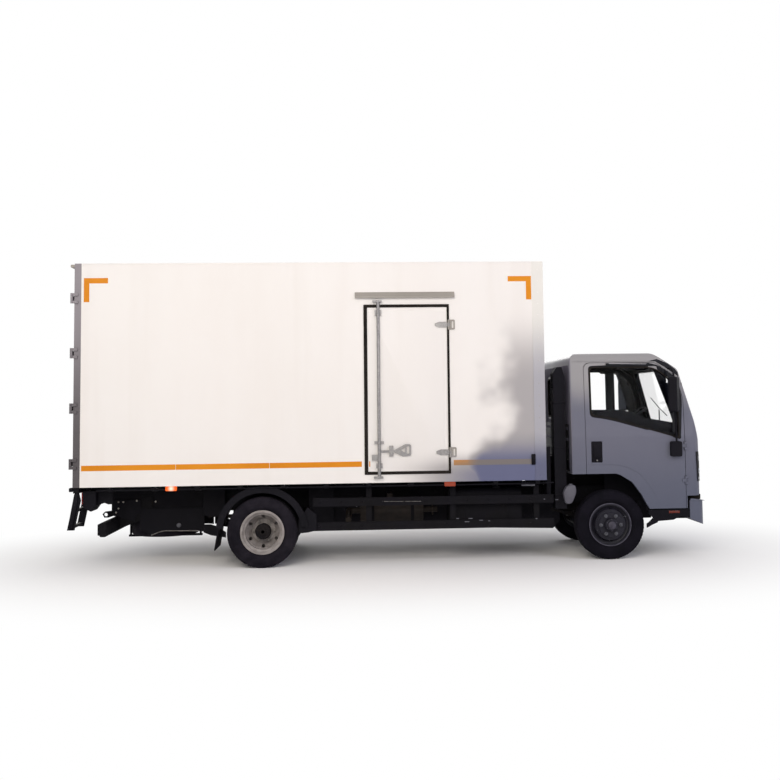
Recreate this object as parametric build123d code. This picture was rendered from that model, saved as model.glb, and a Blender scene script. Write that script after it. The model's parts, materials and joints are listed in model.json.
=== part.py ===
"""Cab-over light truck with an insulated box body, side door and twin rear doors.

Millimetres. While it is drawn, X is measured forward from the front axle, Y to the
left from the centreline and Z up from the ground. The files are written about the
middle of the overall length. A solid list such as (x0, x1, y0, y1, z0, z1) gives the
two faces of a block along each axis.
"""
import os
from math import hypot

from build123d import *

# Driving dimensions of the chassis
WHEELBASE = 3815
TYRE_R = 380
TYRE_WIDTH = 210
RIM_SEAT_R = 222
RIM_FLANGE_R = 235
RIM_WIDTH = 152
WHEEL_OFFSET = 120
FRONT_WHEEL_Y = 840
REAR_WHEEL_Y = 825
KINGPIN_Y = 690
KINGPIN_R = 16
SPINDLE_R = 30
HUB_R = 78
STUD_CIRCLE_R = 111
RAIL_Y = 375
RAIL_DEPTH = 190
RAIL_FLANGE = 65
RAIL_THICK = 7
RAIL_TOP = 770
RAIL_FRONT_X = 938
RAIL_REAR_X = -5560
SPARE_X = -5020
SPARE_Z = 375
CARRIER_REACH = 400

# Driving dimensions of the insulated box
BOX_FRONT_X = -736
BOX_LENGTH = 4996
BOX_HALF_WIDTH = 1125
BOX_BOTTOM = 896
BOX_HEIGHT = 2396
PANEL = 80
REAR_FRAME_DEPTH = 73
DOOR_LEAF = 85
SIDE_DOOR_X = (-2693, -1790)
SIDE_DOOR_Z = (998, 2810)
DOOR_GAP = 8

# Driving dimensions of the cab
CAB_REAR_X = -425
CAB_HALF_WIDTH = 1000
CAB_ROOF = 2276
CAB_FLOOR = 945
CAB_WALL = 50
SKIRT_BOTTOM = 553
CAB_DOOR_REAR_X = -270
CAB_DOOR_FRONT_X = 845
CAB_GAP = 5
CAB_PIVOT = (978, 650)
CAB_PIVOT_R = 15
BUMPER_FRONT_X = 1050

# Running clearances, measured on the radius or across a joint face
PIN_FIT = 0.08
SEAT = 0.3

AXLE_Z = TYRE_R
REAR_AXLE_X = -WHEELBASE
BOX_REAR_X = BOX_FRONT_X - BOX_LENGTH
BOX_TOP = BOX_BOTTOM + BOX_HEIGHT
REAR_FACE_X = BOX_REAR_X - REAR_FRAME_DEPTH
LEAF_FACE_X = BOX_REAR_X - DOOR_LEAF
LOCK_REACH = 52
REAR_END_X = LEAF_FACE_X - LOCK_REACH
ORIGIN_X = (BUMPER_FRONT_X + REAR_END_X) / 2
SIDES = {"right": -1, "left": 1}

# Frame, axles and what hangs from them
CROSSMEMBER_LOW = RAIL_TOP - 90
SILL_HALF = 30
BEARER_BOTTOM = 835
BEARER_HALF = BOX_HALF_WIDTH - 25
CROSSMEMBERS_X = (880, -1300, -2100, -3000, SPARE_X + CARRIER_REACH, SPARE_X - CARRIER_REACH)
BEARERS_X = [BOX_FRONT_X - 90 - 460 * i for i in range(11)]
TOW_EYE = (-5630, 536)
TOW_EYE_Y = 330
TOW_EYE_THICK = 20
TOW_EYE_R = 20
REAR_HUB_IN = 555
ENGINE = (-440, 420, -265, 265, 475, 1050)
GEARBOX_REAR_X = -1080
# Blocks as (x0, x1, y0, y1, z0, z1)
TANK = (-1780, -980, -890, -470, 400, 800)
BATTERY_BOX = (-1500, -1020, 460, 880, 430, 760)
UNDERRUN = (-5538, -5463, -1050, 1050, 365, 515)
AIR_TANK_X = (-2250, -1700)
AIR_TANK_Y = 640
AIR_TANK_Z = (500, 700)
AIR_TANK_R = 88
SILENCER_X = (-2760, -2060)
SILENCER_YZ = (-640, 560)
SILENCER_R = 140
PIPE_R = 32
GUARD_Y = 1000
GUARD_THICK = 28
GUARD_RAILS = ((-3270, -640, 640, 730), (-3270, -640, 380, 470))
GUARD_POSTS_X = [BEARERS_X[i] for i in (0, 2, 4)]
FENDER_R = 440
TIE_ROD_X = -190
TIE_ROD_Y = KINGPIN_Y
MARKER_X = (-4772, -1788)

# Bumper and steps
BUMPER_Z = (365, 632)
BUMPER_DEPTH = 170
PLATE_HALF = 265
PLATE_Z = (440, 555)
FOG_LAMP_Y = 560
FOG_LAMP_Z = 470
FOG_LAMP_R = 55
STEP_X = (520, 860)
STEP_Y = (780, 960)
STEP_Z = (440, 466)
STEP_POST = 20

# Box, its doors and their locks
FLOOR = 110
INNER_Y = BOX_HALF_WIDTH - PANEL
PORTAL_LOW = BOX_BOTTOM + 50
PORTAL_HIGH = BOX_TOP - PANEL
REAR_HINGE_Z = [PORTAL_LOW + 200 + 590 * i for i in range(4)]
REAR_PIN_X = LEAF_FACE_X - 12
REAR_PIN_Y = BOX_HALF_WIDTH + 16
REAR_PIN_R = 8
REAR_BARS_Y = (330, 760)
LOCK_BAR_X = LEAF_FACE_X - 30
GUTTER_X = (-2802, -1714)
SIDE_PIN_X = -1780
SIDE_PIN_R = 8
SIDE_HINGE_Z = (1213, 2600)
SIDE_HINGE_HALF = 54
SIDE_EYE_R = 12
ROD_X = -2551
ROD_Z = (943, 2870)
HANDLE_Z = 1236
LADDER_Y = (-1090, -690)
LADDER_TREADS = ((-5816, 468), (-5778, 640))

# Cab openings, doors and controls
TUNNEL_HALF = 345
TUNNEL_TOP = 1130
DOOR_OUTLINE = [
    (CAB_DOOR_REAR_X, CAB_FLOOR - 60), (CAB_DOOR_REAR_X, 2174), (540, 2174), (780, 2010), (CAB_DOOR_FRONT_X, 1760),
    (CAB_DOOR_FRONT_X, SKIRT_BOTTOM - 60), (300, SKIRT_BOTTOM - 60),
]
DOOR_ROUND = [1, 70, 120, 120, 200, 1, 1]
WINDOW_OUTLINE = [
    (-195, 1590), (-195, 2115), (520, 2115), (700, 1985), (775, 1760), (775, 1335), (20, 1560),
]
WINDOW_ROUND = [50, 40, 110, 110, 120, 20, 120]
CAB_HINGE_Z = (860, 1240)
FRONT_PANEL_Z = (700, 1320)
SCREEN_Z = (1400, 2090)
BACK_WINDOW_Z = (1560, 2020)
BACK_WINDOW_HALF = 480
DOOR_PULL_X = (-209, -85)
DOOR_PULL_Z = (1069, 1302)
CAB_LUG_Y = (420, 470)
MIRROR = (694, 1140, 1811)
COLUMN_TOP = (600, 450, 1540)
COLUMN_FOOT = (790, 450, 1150)
STEERING_R = 210


def block(x0, x1, y0, y1, z0, z1):
    """A box between two limits along each axis."""
    middle = ((x0 + x1) / 2, (y0 + y1) / 2, (z0 + z1) / 2)
    return Pos(*middle) * Box(abs(x1 - x0), abs(y1 - y0), abs(z1 - z0))


def rod(start, end, radius):
    """A round bar between two points."""
    a, b = Vector(*start), Vector(*end)
    face = Plane(origin=a, z_dir=b - a) * Circle(radius)
    return extrude(face, amount=(b - a).length)


def side_plate(points, y0, y1, rounding=0):
    """An outline of (x, z) points carried across from y0 to y1."""
    corners = [(x, y0, z) for x, z in points]
    if rounding:
        line = FilletPolyline(*corners, radius=rounding, close=True)
    else:
        line = Polyline(*corners, close=True)
    return extrude(make_face(line), amount=y1 - y0, dir=(0, 1, 0))


def front_plate(points, x0, x1, rounding=0):
    """An outline of (y, z) points carried along from x0 to x1."""
    corners = [(x0, y, z) for y, z in points]
    if rounding:
        line = FilletPolyline(*corners, radius=rounding, close=True)
    else:
        line = Polyline(*corners, close=True)
    return extrude(make_face(line), amount=x1 - x0, dir=(1, 0, 0))


def floor_plate(points, z0, z1, rounding=0):
    """An outline of (x, y) points raised from z0 to z1."""
    corners = [(x, y, z0) for x, y in points]
    if rounding:
        line = FilletPolyline(*corners, radius=rounding, close=True)
    else:
        line = Polyline(*corners, close=True)
    return extrude(make_face(line), amount=z1 - z0, dir=(0, 0, 1))


def turned(points, x, y, z, side=1):
    """A profile of (across, radius) points turned about a crosswise axle."""
    corners = [(side * a, r, 0) for a, r in points]
    face = make_face(Polyline(*corners, close=True))
    solid = revolve(face, Axis.X)
    return Pos(x, y, z) * (Rot(0, 0, 90) * solid)


def around_axle(shape, x, z, count, first=0):
    """Copies of a shape spread evenly about a crosswise axle line."""
    axis = Axis((x, 0, z), (0, 1, 0))
    return [shape.rotate(axis, first + 360 * i / count) for i in range(count)]


def joined(shapes):
    """One solid from several that touch."""
    first, *rest = shapes
    return first.fuse(*rest) if rest else first


def write(name, *shapes):
    """Move solids to the part's own origin and write them as one node."""
    solids = [s for shape in shapes for s in shape.solids()]
    whole = Compound(children=[Pos(-ORIGIN_X, 0, 0) * s for s in solids])
    export_step(whole, f"parts/{name}.step")


# Chassis
def chassis_frame():
    """Two channel rails with the cab's pivot brackets, and the crossmembers between them."""
    web = RAIL_TOP - RAIL_DEPTH
    found = []
    for side, mount in zip(SIDES.values(), cab_mounts()):
        rail = block(RAIL_REAR_X, RAIL_FRONT_X, side * RAIL_Y, side * (RAIL_Y - RAIL_FLANGE), web, RAIL_TOP)
        hollow = block(
            RAIL_REAR_X - 1, RAIL_FRONT_X + 1,
            side * (RAIL_Y - RAIL_THICK), side * (RAIL_Y - RAIL_FLANGE - 1),
            web + RAIL_THICK, RAIL_TOP - RAIL_THICK,
        )
        found.append(joined([rail - hollow, mount]))
    half = RAIL_Y - RAIL_THICK - SEAT
    top = RAIL_TOP - RAIL_THICK - SEAT
    for x in CROSSMEMBERS_X:
        member = block(x - 40, x + 40, -half, half, CROSSMEMBER_LOW, top)
        found.append(member - block(x - 34, x + 34, -half - 1, half + 1, CROSSMEMBER_LOW - 1, top - 6))
    return found


def box_underframe():
    """Box sills along the rails, with the cross bearers that carry the box."""
    found = []
    for side in SIDES.values():
        sill = side * (RAIL_Y - RAIL_FLANGE / 2)
        found.append(block(
            REAR_FACE_X, BOX_FRONT_X - 60, sill - SILL_HALF, sill + SILL_HALF, RAIL_TOP, BEARER_BOTTOM - SEAT,
        ))
    for x in BEARERS_X:
        bearer = block(x - 25, x + 25, -BEARER_HALF, BEARER_HALF, BEARER_BOTTOM, BOX_BOTTOM)
        for side in SIDES.values():
            taper = [(side * BEARER_HALF, BEARER_BOTTOM), (side * BEARER_HALF, BEARER_BOTTOM + 22),
                     (side * (BEARER_HALF - 110), BEARER_BOTTOM)]
            bearer -= front_plate(taper, x - 26, x + 26)
        found.append(bearer)
    found.append(block(REAR_FACE_X, REAR_FACE_X + 60, -BEARER_HALF, BEARER_HALF, BEARER_BOTTOM, BOX_BOTTOM))
    return found


def tow_eyes():
    """A towing eye plate under the rear end of each rail."""
    x, z = TOW_EYE
    top = RAIL_TOP - RAIL_DEPTH - SEAT
    outline = [
        (RAIL_REAR_X + 90, top), (RAIL_REAR_X, top), (x - 10, z + 34), (x - 38, z + 6), (x - 16, z - 34),
        (x + 30, z - 34), (RAIL_REAR_X + 90, z + 10),
    ]
    found = []
    for side in SIDES.values():
        near, far = side * TOW_EYE_Y, side * (TOW_EYE_Y + TOW_EYE_THICK)
        plate = side_plate(outline, near, far)
        found.append(plate - rod((x, near - side, z), (x, far + side, z), TOW_EYE_R))
    return found


def front_axle():
    """Dropped beam with kingpin bosses at its ends and spring pads."""
    beam_y = KINGPIN_Y - 60
    low, high = AXLE_Z - 95, AXLE_Z - 15
    outline = [
        (-beam_y - 70, AXLE_Z - 50), (-beam_y - 70, AXLE_Z + 50), (-beam_y, AXLE_Z + 50),
        (-500, high), (500, high), (beam_y, AXLE_Z + 50), (beam_y + 70, AXLE_Z + 50),
        (beam_y + 70, AXLE_Z - 50), (beam_y, AXLE_Z - 50), (500, low), (-500, low), (-beam_y, AXLE_Z - 50),
    ]
    beam = front_plate(outline, -35, 35)
    for side in SIDES.values():
        y = side * KINGPIN_Y
        beam += rod((0, y, AXLE_Z - 50), (0, y, AXLE_Z + 50), 38)
        beam -= rod((0, y, AXLE_Z - 60), (0, y, AXLE_Z + 60), KINGPIN_R + PIN_FIT)
    return beam


def rear_axle():
    """Banjo housing with its tubes and the spindle stubs that the hubs turn on."""
    end = REAR_WHEEL_Y + 55
    banjo = Pos(REAR_AXLE_X, 0, AXLE_Z) * Sphere(185)
    nose = rod((REAR_AXLE_X, 0, AXLE_Z), (REAR_AXLE_X + 300, 0, AXLE_Z), 90)
    tubes = rod((REAR_AXLE_X, -REAR_HUB_IN, AXLE_Z), (REAR_AXLE_X, REAR_HUB_IN, AXLE_Z), 68)
    stub = rod((REAR_AXLE_X, -end, AXLE_Z), (REAR_AXLE_X, end, AXLE_Z), SPINDLE_R + 12)
    return joined([banjo, nose, tubes, stub])


def leaf_springs():
    """Four leaf packs with their hanger brackets under the rails."""
    # Columns: axle x, half length, pad height above the axle, leaf pack depth, leaf width
    table = ((0, 560, AXLE_Z - 15 + 12, 36, 70), (REAR_AXLE_X, 640, AXLE_Z + 68 + 12, 60, 70))
    found = []
    web = RAIL_TOP - RAIL_DEPTH
    for axle, half, pad, depth, width in table:
        for side in SIDES.values():
            y0, y1 = side * (RAIL_Y + 12), side * (RAIL_Y + 12 + width)
            eye = web - 60
            top = [(axle - half, eye), (axle, pad + depth), (axle + half, eye)]
            low = [(axle + half, eye - 14), (axle + half * 0.35, pad), (axle - half * 0.35, pad), (axle - half, eye - 14)]
            pack = side_plate(top + low, y0, y1)
            pad_plate = block(axle - 70, axle + 70, y0, y1, pad - 12 + SEAT, pad + 4)
            parts = [pack, pad_plate]
            for end in (axle - half, axle + half):
                parts.append(rod((end, y0, eye - 7), (end, y1, eye - 7), 24))
                hanger = [(end - 45, web + 90), (end + 45, web + 90), (end + 26, eye - 20), (end - 26, eye - 20)]
                parts.append(side_plate(hanger, side * (RAIL_Y + SEAT), side * (RAIL_Y + 14)))
            found.append(joined(parts))
    return found


def engine_block():
    """The engine as one plain block under the cab."""
    return block(*ENGINE)


def driveline():
    """Gearbox behind the engine, and the propeller shaft to the rear axle."""
    back = GEARBOX_REAR_X
    case = [
        (ENGINE[0] - SEAT, 530), (ENGINE[0] - SEAT, 850), (-700, 790), (back, 720), (back, 560), (-700, 510),
    ]
    gearbox = side_plate(case, -170, 170)
    nose_x = REAR_AXLE_X + 300 + SEAT
    yoke = rod((back - SEAT, 0, 640), (back - 50, 0, 640), 65)
    shaft = rod((back - 30, 0, 638), (nose_x + 30, 0, AXLE_Z + 4), 45)
    flange = rod((nose_x + 40, 0, AXLE_Z), (nose_x, 0, AXLE_Z), 70)
    return [gearbox, joined([yoke, shaft, flange])]


def fuel_tank():
    """Rounded steel tank on the right rail with its two cradles."""
    tank = fillet(block(*TANK).edges().filter_by(Axis.X), 70)
    x0, x1, _, inside, _, top = TANK
    parts = [tank, rod((x1 - 270, -820, top - 5), (x1 - 270, -820, top + 15), 40)]
    for x in (x0 + 160, x1 - 160):
        parts.append(block(x - 20, x + 20, inside - 50, -RAIL_Y - SEAT, top - 200, top - 40))
    return joined(parts)


def battery_box():
    """Battery box on the left rail, and a pair of air tanks behind it."""
    x0, x1, y0, y1, low, high = BATTERY_BOX
    cover = block(x0 - 10, x1 + 10, y0 - 10, y1 + 10, high, high + 30)
    arm = block(x0 + 100, x1 - 100, RAIL_Y + SEAT, y0 + 10, high - 140, high - 10)
    found = [joined([block(*BATTERY_BOX), cover, arm])]
    (x0, x1), y = AIR_TANK_X, AIR_TANK_Y
    tanks = [rod((x0, y, z), (x1, y, z), AIR_TANK_R) for z in AIR_TANK_Z]
    hanger = block(x0 + 250, x0 + 310, RAIL_Y + SEAT, y, AIR_TANK_Z[0] - 20, AIR_TANK_Z[1] + 40)
    found.append(joined([*tanks, hanger]))
    return found


def side_guards():
    """Two rails a side between the axles, on posts from the cross bearers."""
    found = []
    for side in SIDES.values():
        back = side * (GUARD_Y - GUARD_THICK)
        for x0, x1, z0, z1 in GUARD_RAILS:
            found.append(block(x0, x1, back, side * GUARD_Y, z0, z1))
        for x in GUARD_POSTS_X:
            face = back - side * SEAT
            found.append(block(x - 30, x + 30, face - side * 40, face, GUARD_RAILS[1][2], BEARER_BOTTOM - SEAT))
    return found


def underrun_bar():
    """Rear underrun bar on two arms that slope up to the rails."""
    bar = block(*UNDERRUN)
    bar = fillet(bar.edges().filter_by(Axis.Y), 20)
    parts = [bar]
    arm = [(-5468, 380), (-5468, 505), (-5300, 590), (-5240, 740), (-5100, 740), (-5100, 600), (-5200, 480)]
    for side in SIDES.values():
        parts.append(side_plate(arm, side * (RAIL_Y + SEAT), side * (RAIL_Y + 14)))
    return joined(parts)


def rear_fenders():
    """Arched guards over the twin wheels, each with its flap behind."""
    found = []
    for side in SIDES.values():
        inner, outer = side * 585, side * 1072
        band = rod((REAR_AXLE_X, inner, AXLE_Z), (REAR_AXLE_X, outer, AXLE_Z), FENDER_R + 8)
        band -= rod((REAR_AXLE_X, inner - side, AXLE_Z), (REAR_AXLE_X, outer + side, AXLE_Z), FENDER_R)
        lip = rod((REAR_AXLE_X, outer - side * 8, AXLE_Z), (REAR_AXLE_X, outer, AXLE_Z), FENDER_R + 55)
        lip -= rod((REAR_AXLE_X, inner, AXLE_Z), (REAR_AXLE_X, outer + side, AXLE_Z), FENDER_R - 15)
        arch = band + lip
        arch -= block(REAR_AXLE_X - 900, REAR_AXLE_X + 900, inner - side * 9, outer + side * 9, -400, 435)
        flap_top = (REAR_AXLE_X - FENDER_R - 8, 560)
        flap = side_plate(
            [flap_top, (flap_top[0] + 8, 560), (flap_top[0] - 52, 200), (flap_top[0] - 60, 200)],
            inner, outer,
        )
        sill = RAIL_Y - RAIL_FLANGE / 2 + SILL_HALF
        post = block(REAR_AXLE_X - 25, REAR_AXLE_X + 25, side * (sill + SEAT), inner + side * 40, 800, 825)
        found.append(joined([arch, flap, post]))
    return found


def spare_wheel():
    """A spare tyre on its rim, lying flat under the tail of the frame."""
    wheel = tyre_profile() + rim_barrel()
    flat = [Rot(90, 0, 0) * part for part in wheel]
    return [Pos(SPARE_X, 0, SPARE_Z) * part for part in flat]


def spare_carrier():
    """Bar under the spare wheel, hung from two crossmembers."""
    low = SPARE_Z - TYRE_WIDTH / 2
    reach = CARRIER_REACH
    parts = [block(SPARE_X - reach - 20, SPARE_X + reach + 20, -25, 25, low - 22, low - SEAT)]
    for x in (SPARE_X - reach, SPARE_X + reach):
        parts.append(rod((x, 0, low - 10), (x, 0, RAIL_TOP - RAIL_THICK - 6 - 2 * SEAT), 12))
    return joined(parts)


def tyre_profile():
    """The tyre's solid about a crosswise axle at the origin."""
    half, seat = TYRE_WIDTH / 2, RIM_WIDTH / 2 - SEAT
    right = [
        (seat, RIM_SEAT_R + SEAT), (seat, RIM_FLANGE_R + 1), (half - 8, RIM_FLANGE_R + 25),
        (half, RIM_FLANGE_R + 62), (half - 4, TYRE_R - 42), (half - 12, TYRE_R - 16), (half - 28, TYRE_R),
    ]
    left = [(-a, r) for a, r in reversed(right)]
    return [turned(right + left, 0, 0, 0)]


def rim_barrel():
    """The rim's drop-centre barrel and a flat disc, for the spare wheel."""
    return [rim(0, 0, 0, 1)]


def rim(x, y, z, out):
    """One rim: flanges, bead seats, well and a dished disc that bulges towards out."""
    half = RIM_WIDTH / 2
    barrel = [
        (-half - 9, RIM_FLANGE_R), (-half, RIM_FLANGE_R), (-half, RIM_SEAT_R), (-half + 26, RIM_SEAT_R),
        (-half + 34, 196), (half - 44, 196), (half - 36, RIM_SEAT_R), (half, RIM_SEAT_R),
        (half, RIM_FLANGE_R), (half + 9, RIM_FLANGE_R), (half + 9, 213), (half - 30, 213),
        (half - 38, 187), (-half + 28, 187), (-half + 20, 213), (-half - 9, 213),
    ]
    face = WHEEL_OFFSET
    disc = [
        (20, 190), (34, 190), (52, 182), (face - 16, 140), (face, 132), (face, 60),
        (face - 11, 60), (face - 11, 128), (face - 26, 132), (38, 172), (20, 178),
    ]
    wheel = turned(barrel, x, y, z, out) + turned(disc, x, y, z, out)
    hole = rod((x + 160, y - 200, z), (x + 160, y + 200, z), 19)
    for cut in around_axle(hole, x, z, 6, 30):
        wheel -= cut
    return wheel


def drum_and_hub(x, y, z, out, drum_in, hub_out, bore):
    """Brake drum and hub turned as one, with a bore for the spindle."""
    outline = [
        (drum_in, bore), (drum_in, 168), (-14, 168), (-14, 150), (0, 150), (0, HUB_R),
        (hub_out - 12, HUB_R - 8), (hub_out, HUB_R - 22), (hub_out, bore),
    ]
    return turned(outline, x, y, z, out)


def front_wheel(side):
    """The front rim with its hub and the tyre around it."""
    y = side * FRONT_WHEEL_Y
    face = y + side * (WHEEL_OFFSET - 11)
    hub = drum_and_hub(0, face, AXLE_Z, side, -120, 60, SPINDLE_R + PIN_FIT)
    wheel = rim(0, y, AXLE_Z, side) + hub
    nut = rod((STUD_CIRCLE_R, face, AXLE_Z), (STUD_CIRCLE_R, face + side * 34, AXLE_Z), 15)
    wheel = joined([wheel, *around_axle(nut, 0, AXLE_Z, 6)])
    tyre = Pos(0, y, AXLE_Z) * tyre_profile()[0]
    return wheel, tyre


def rear_wheels(side):
    """Twin rims back to back on one hub, and their two tyres."""
    x = REAR_AXLE_X
    inner_y = side * (REAR_WHEEL_Y - WHEEL_OFFSET - 1)
    outer_y = side * (REAR_WHEEL_Y + WHEEL_OFFSET - 1)
    face = side * REAR_WHEEL_Y
    hub = drum_and_hub(x, face, AXLE_Z, side, -200, 110, SPINDLE_R + 12 + PIN_FIT)
    cap = rod((x, face + side * 80, AXLE_Z), (x, face + side * 125, AXLE_Z), 58)
    cap -= rod((x, face + side * 70, AXLE_Z), (x, face + side * 112, AXLE_Z), SPINDLE_R + 14)
    inner = rim(x, inner_y, AXLE_Z, side)
    outer = rim(x, outer_y, AXLE_Z, -side)
    wheel = joined([hub, cap, inner, outer])
    nut = rod((x + STUD_CIRCLE_R, face, AXLE_Z), (x + STUD_CIRCLE_R, face + side * 40, AXLE_Z), 15)
    wheel = joined([wheel, *around_axle(nut, x, AXLE_Z, 6)])
    tyres = [Pos(x, y, AXLE_Z) * tyre_profile()[0] for y in (inner_y, outer_y)]
    return wheel, tyres


def knuckle(side):
    """Forked stub axle: kingpin, spindle and the arm that the tie rod pulls."""
    y = side * KINGPIN_Y
    plate_y = y + side * 44
    pin = rod((0, y, AXLE_Z - 82), (0, y, AXLE_Z + 82), KINGPIN_R)
    parts = [pin]
    for low, high in ((-82, -51), (51, 82)):
        parts.append(block(-38, 38, y - side * 30, plate_y, AXLE_Z + low, AXLE_Z + high))
    parts.append(block(-45, 45, plate_y, plate_y + side * 22, AXLE_Z - 82, AXLE_Z + 82))
    spindle_end = side * (FRONT_WHEEL_Y + WHEEL_OFFSET + 30)
    parts.append(rod((0, plate_y, AXLE_Z), (0, spindle_end, AXLE_Z), SPINDLE_R))
    arm = floor_plate(
        [(-30, y + side * 20), (-30, y - side * 26), (TIE_ROD_X, y - side * 20), (TIE_ROD_X, y + side * 20)],
        AXLE_Z - 82, AXLE_Z - 62,
    )
    parts.append(arm)
    eye = side * TIE_ROD_Y
    parts.append(rod((TIE_ROD_X, eye, AXLE_Z - 82), (TIE_ROD_X, eye, AXLE_Z - 62), 26))
    parts.append(rod((TIE_ROD_X, eye, AXLE_Z - 118), (TIE_ROD_X, eye, AXLE_Z - 62), 10))
    return joined(parts)


def tie_rod():
    """Crosswise rod with an eye at each end; the left eye has a slack bore."""
    z0, z1 = AXLE_Z - 112, AXLE_Z - 84
    middle = (z0 + z1) / 2
    bar = rod((TIE_ROD_X, -TIE_ROD_Y + 12, middle), (TIE_ROD_X, TIE_ROD_Y - 12, middle), 13)
    for side, slack in ((-1, PIN_FIT), (1, 1.0)):
        y = side * TIE_ROD_Y
        bar += rod((TIE_ROD_X, y, z0), (TIE_ROD_X, y, z1), 25)
        bar -= rod((TIE_ROD_X, y, z0 - 9), (TIE_ROD_X, y, z1 + 1), 10 + slack)
    return bar


def exhaust():
    """Silencer on the right rail with its front pipe and side outlet."""
    (x0, x1), y, z = SILENCER_X, *SILENCER_YZ
    can = rod((x0, y, z), (x1, y, z), SILENCER_R)
    front = rod((x1, y, z), (x1 + 160, y, z), PIPE_R)
    tail = rod((x0 - 140, y, z), (x0, y, z), PIPE_R)
    outlet = rod((x0 - 130, y, z), (x0 - 130, y - 290, z - 80), PIPE_R)
    hanger = block(x0 + 300, x0 + 360, y, -RAIL_Y - SEAT, z + 40, z + 180)
    return joined([can, front, tail, outlet, hanger])


def tail_lamps():
    """Lamp housings under the rear corners of the box."""
    found = []
    for side in SIDES.values():
        outline = [(-5728, 850), (-5588, 850), (-5588, 700), (-5638, 632), (-5718, 672)]
        body = side_plate(outline, side * 720, side * 1010)
        arm = block(-5668, -5618, side * 850, side * 880, 850, BOX_BOTTOM - SEAT)
        found.append(body + arm)
    return found


def marker_lamps():
    """Small side lamps under the box edge."""
    found = []
    for side in SIDES.values():
        for x in MARKER_X:
            lamp = block(x - 60, x + 60, side * (BEARER_HALF + 1), side * (BOX_HALF_WIDTH - 4), 846, BOX_BOTTOM - SEAT)
            found.append(fillet(lamp.edges().filter_by(Axis.Y), 10))
    return found


def air_intake():
    """Tall intake duct between the cab and the box, with its hooded top."""
    outline = [(-600, 560), (-470, 560), (-470, 2020), (-500, 2130), (-560, 2130), (-600, 2060)]
    duct = side_plate(outline, -880, -700)
    duct -= side_plate([(-601, 1900), (-560, 1900), (-560, 2040), (-601, 2040)], -860, -720)
    foot = block(-590, -480, -710, -RAIL_Y - SEAT, 690, 750)
    return duct + foot


def front_bumper():
    """Wrap-round bumper with a number plate recess, on brackets from the rails."""
    low, top = BUMPER_Z
    back = BUMPER_FRONT_X - BUMPER_DEPTH
    outer = floor_plate(
        [(back, -CAB_HALF_WIDTH), (back, CAB_HALF_WIDTH), (BUMPER_FRONT_X, CAB_HALF_WIDTH),
         (BUMPER_FRONT_X, -CAB_HALF_WIDTH)], low, top, [0.5, 0.5, 110, 110],
    )
    inside = CAB_HALF_WIDTH - 40
    inner = floor_plate(
        [(back - 1, -inside), (back - 1, inside), (BUMPER_FRONT_X - 40, inside), (BUMPER_FRONT_X - 40, -inside)],
        low - 1, top + 1, [0.5, 0.5, 80, 80],
    )
    shell = outer - inner
    slant = side_plate([(back - 1, low - 1), (back - 1, 440), (BUMPER_FRONT_X + 1, low - 1)], -1100, 1100)
    shell -= slant
    shell -= block(BUMPER_FRONT_X - 8, BUMPER_FRONT_X + 1, -PLATE_HALF, PLATE_HALF, *PLATE_Z)
    for side in SIDES.values():
        y = side * FOG_LAMP_Y
        shell -= rod((BUMPER_FRONT_X - 60, y, FOG_LAMP_Z), (BUMPER_FRONT_X + 10, y, FOG_LAMP_Z), FOG_LAMP_R)
    parts = [shell]
    for side in SIDES.values():
        y0, y1 = side * (RAIL_Y - 60), side * RAIL_Y
        parts.append(block(RAIL_FRONT_X + SEAT, BUMPER_FRONT_X - 39, y0, y1, 590, 630))
    return joined(parts)


def step_panels():
    """Black lower side panels with the entry step, under the cab doors."""
    found = []
    outline = [
        (420, 540), (876, 540), (876, 446), (777, 466), (694, 427), (527, 416), (398, 345), (398, 380),
        (470, 450), (420, 500),
    ]
    (x0, x1), (in_y, out_y), (low, high) = STEP_X, STEP_Y, STEP_Z
    arm_x, arm_z = x1 - STEP_POST, high + 34
    for side in SIDES.values():
        foot = side * (RAIL_Y + SEAT)
        panel = side_plate(outline, side * (out_y - 5), side * (out_y + 30))
        tread = block(x0, x1, side * in_y, side * out_y, low, high)
        arm = block(arm_x, arm_x + 35, foot, side * out_y, arm_z, arm_z + 35)
        web = block(arm_x, arm_x + 35, foot, side * (RAIL_Y + 14), arm_z, RAIL_TOP - RAIL_DEPTH + 26)
        post = block(arm_x, x1, side * in_y, side * (in_y + STEP_POST), low, arm_z + 35)
        found.append(joined([panel, tread, arm, web, post]))
    return found


# Insulated box
def box_floor():
    """Load floor between the walls."""
    return block(BOX_REAR_X, BOX_FRONT_X - PANEL, -INNER_Y, INNER_Y, BOX_BOTTOM, BOX_BOTTOM + FLOOR)


def box_wall(side):
    """One insulated side wall, with its door opening on the right."""
    wall = block(BOX_REAR_X, BOX_FRONT_X, side * INNER_Y, side * BOX_HALF_WIDTH, BOX_BOTTOM, BOX_TOP - PANEL)
    if side < 0:
        x0, x1 = SIDE_DOOR_X
        z0, z1 = SIDE_DOOR_Z
        wall -= block(x0, x1, -BOX_HALF_WIDTH - 1, -INNER_Y + 1, z0, z1)
    return wall


def box_front_wall():
    """The bulkhead behind the cab."""
    return block(BOX_FRONT_X - PANEL, BOX_FRONT_X, -INNER_Y, INNER_Y, BOX_BOTTOM, BOX_TOP - PANEL)


def box_roof():
    """The roof panel that lies on the walls."""
    return block(BOX_REAR_X, BOX_FRONT_X, -BOX_HALF_WIDTH, BOX_HALF_WIDTH, BOX_TOP - PANEL, BOX_TOP)


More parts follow.
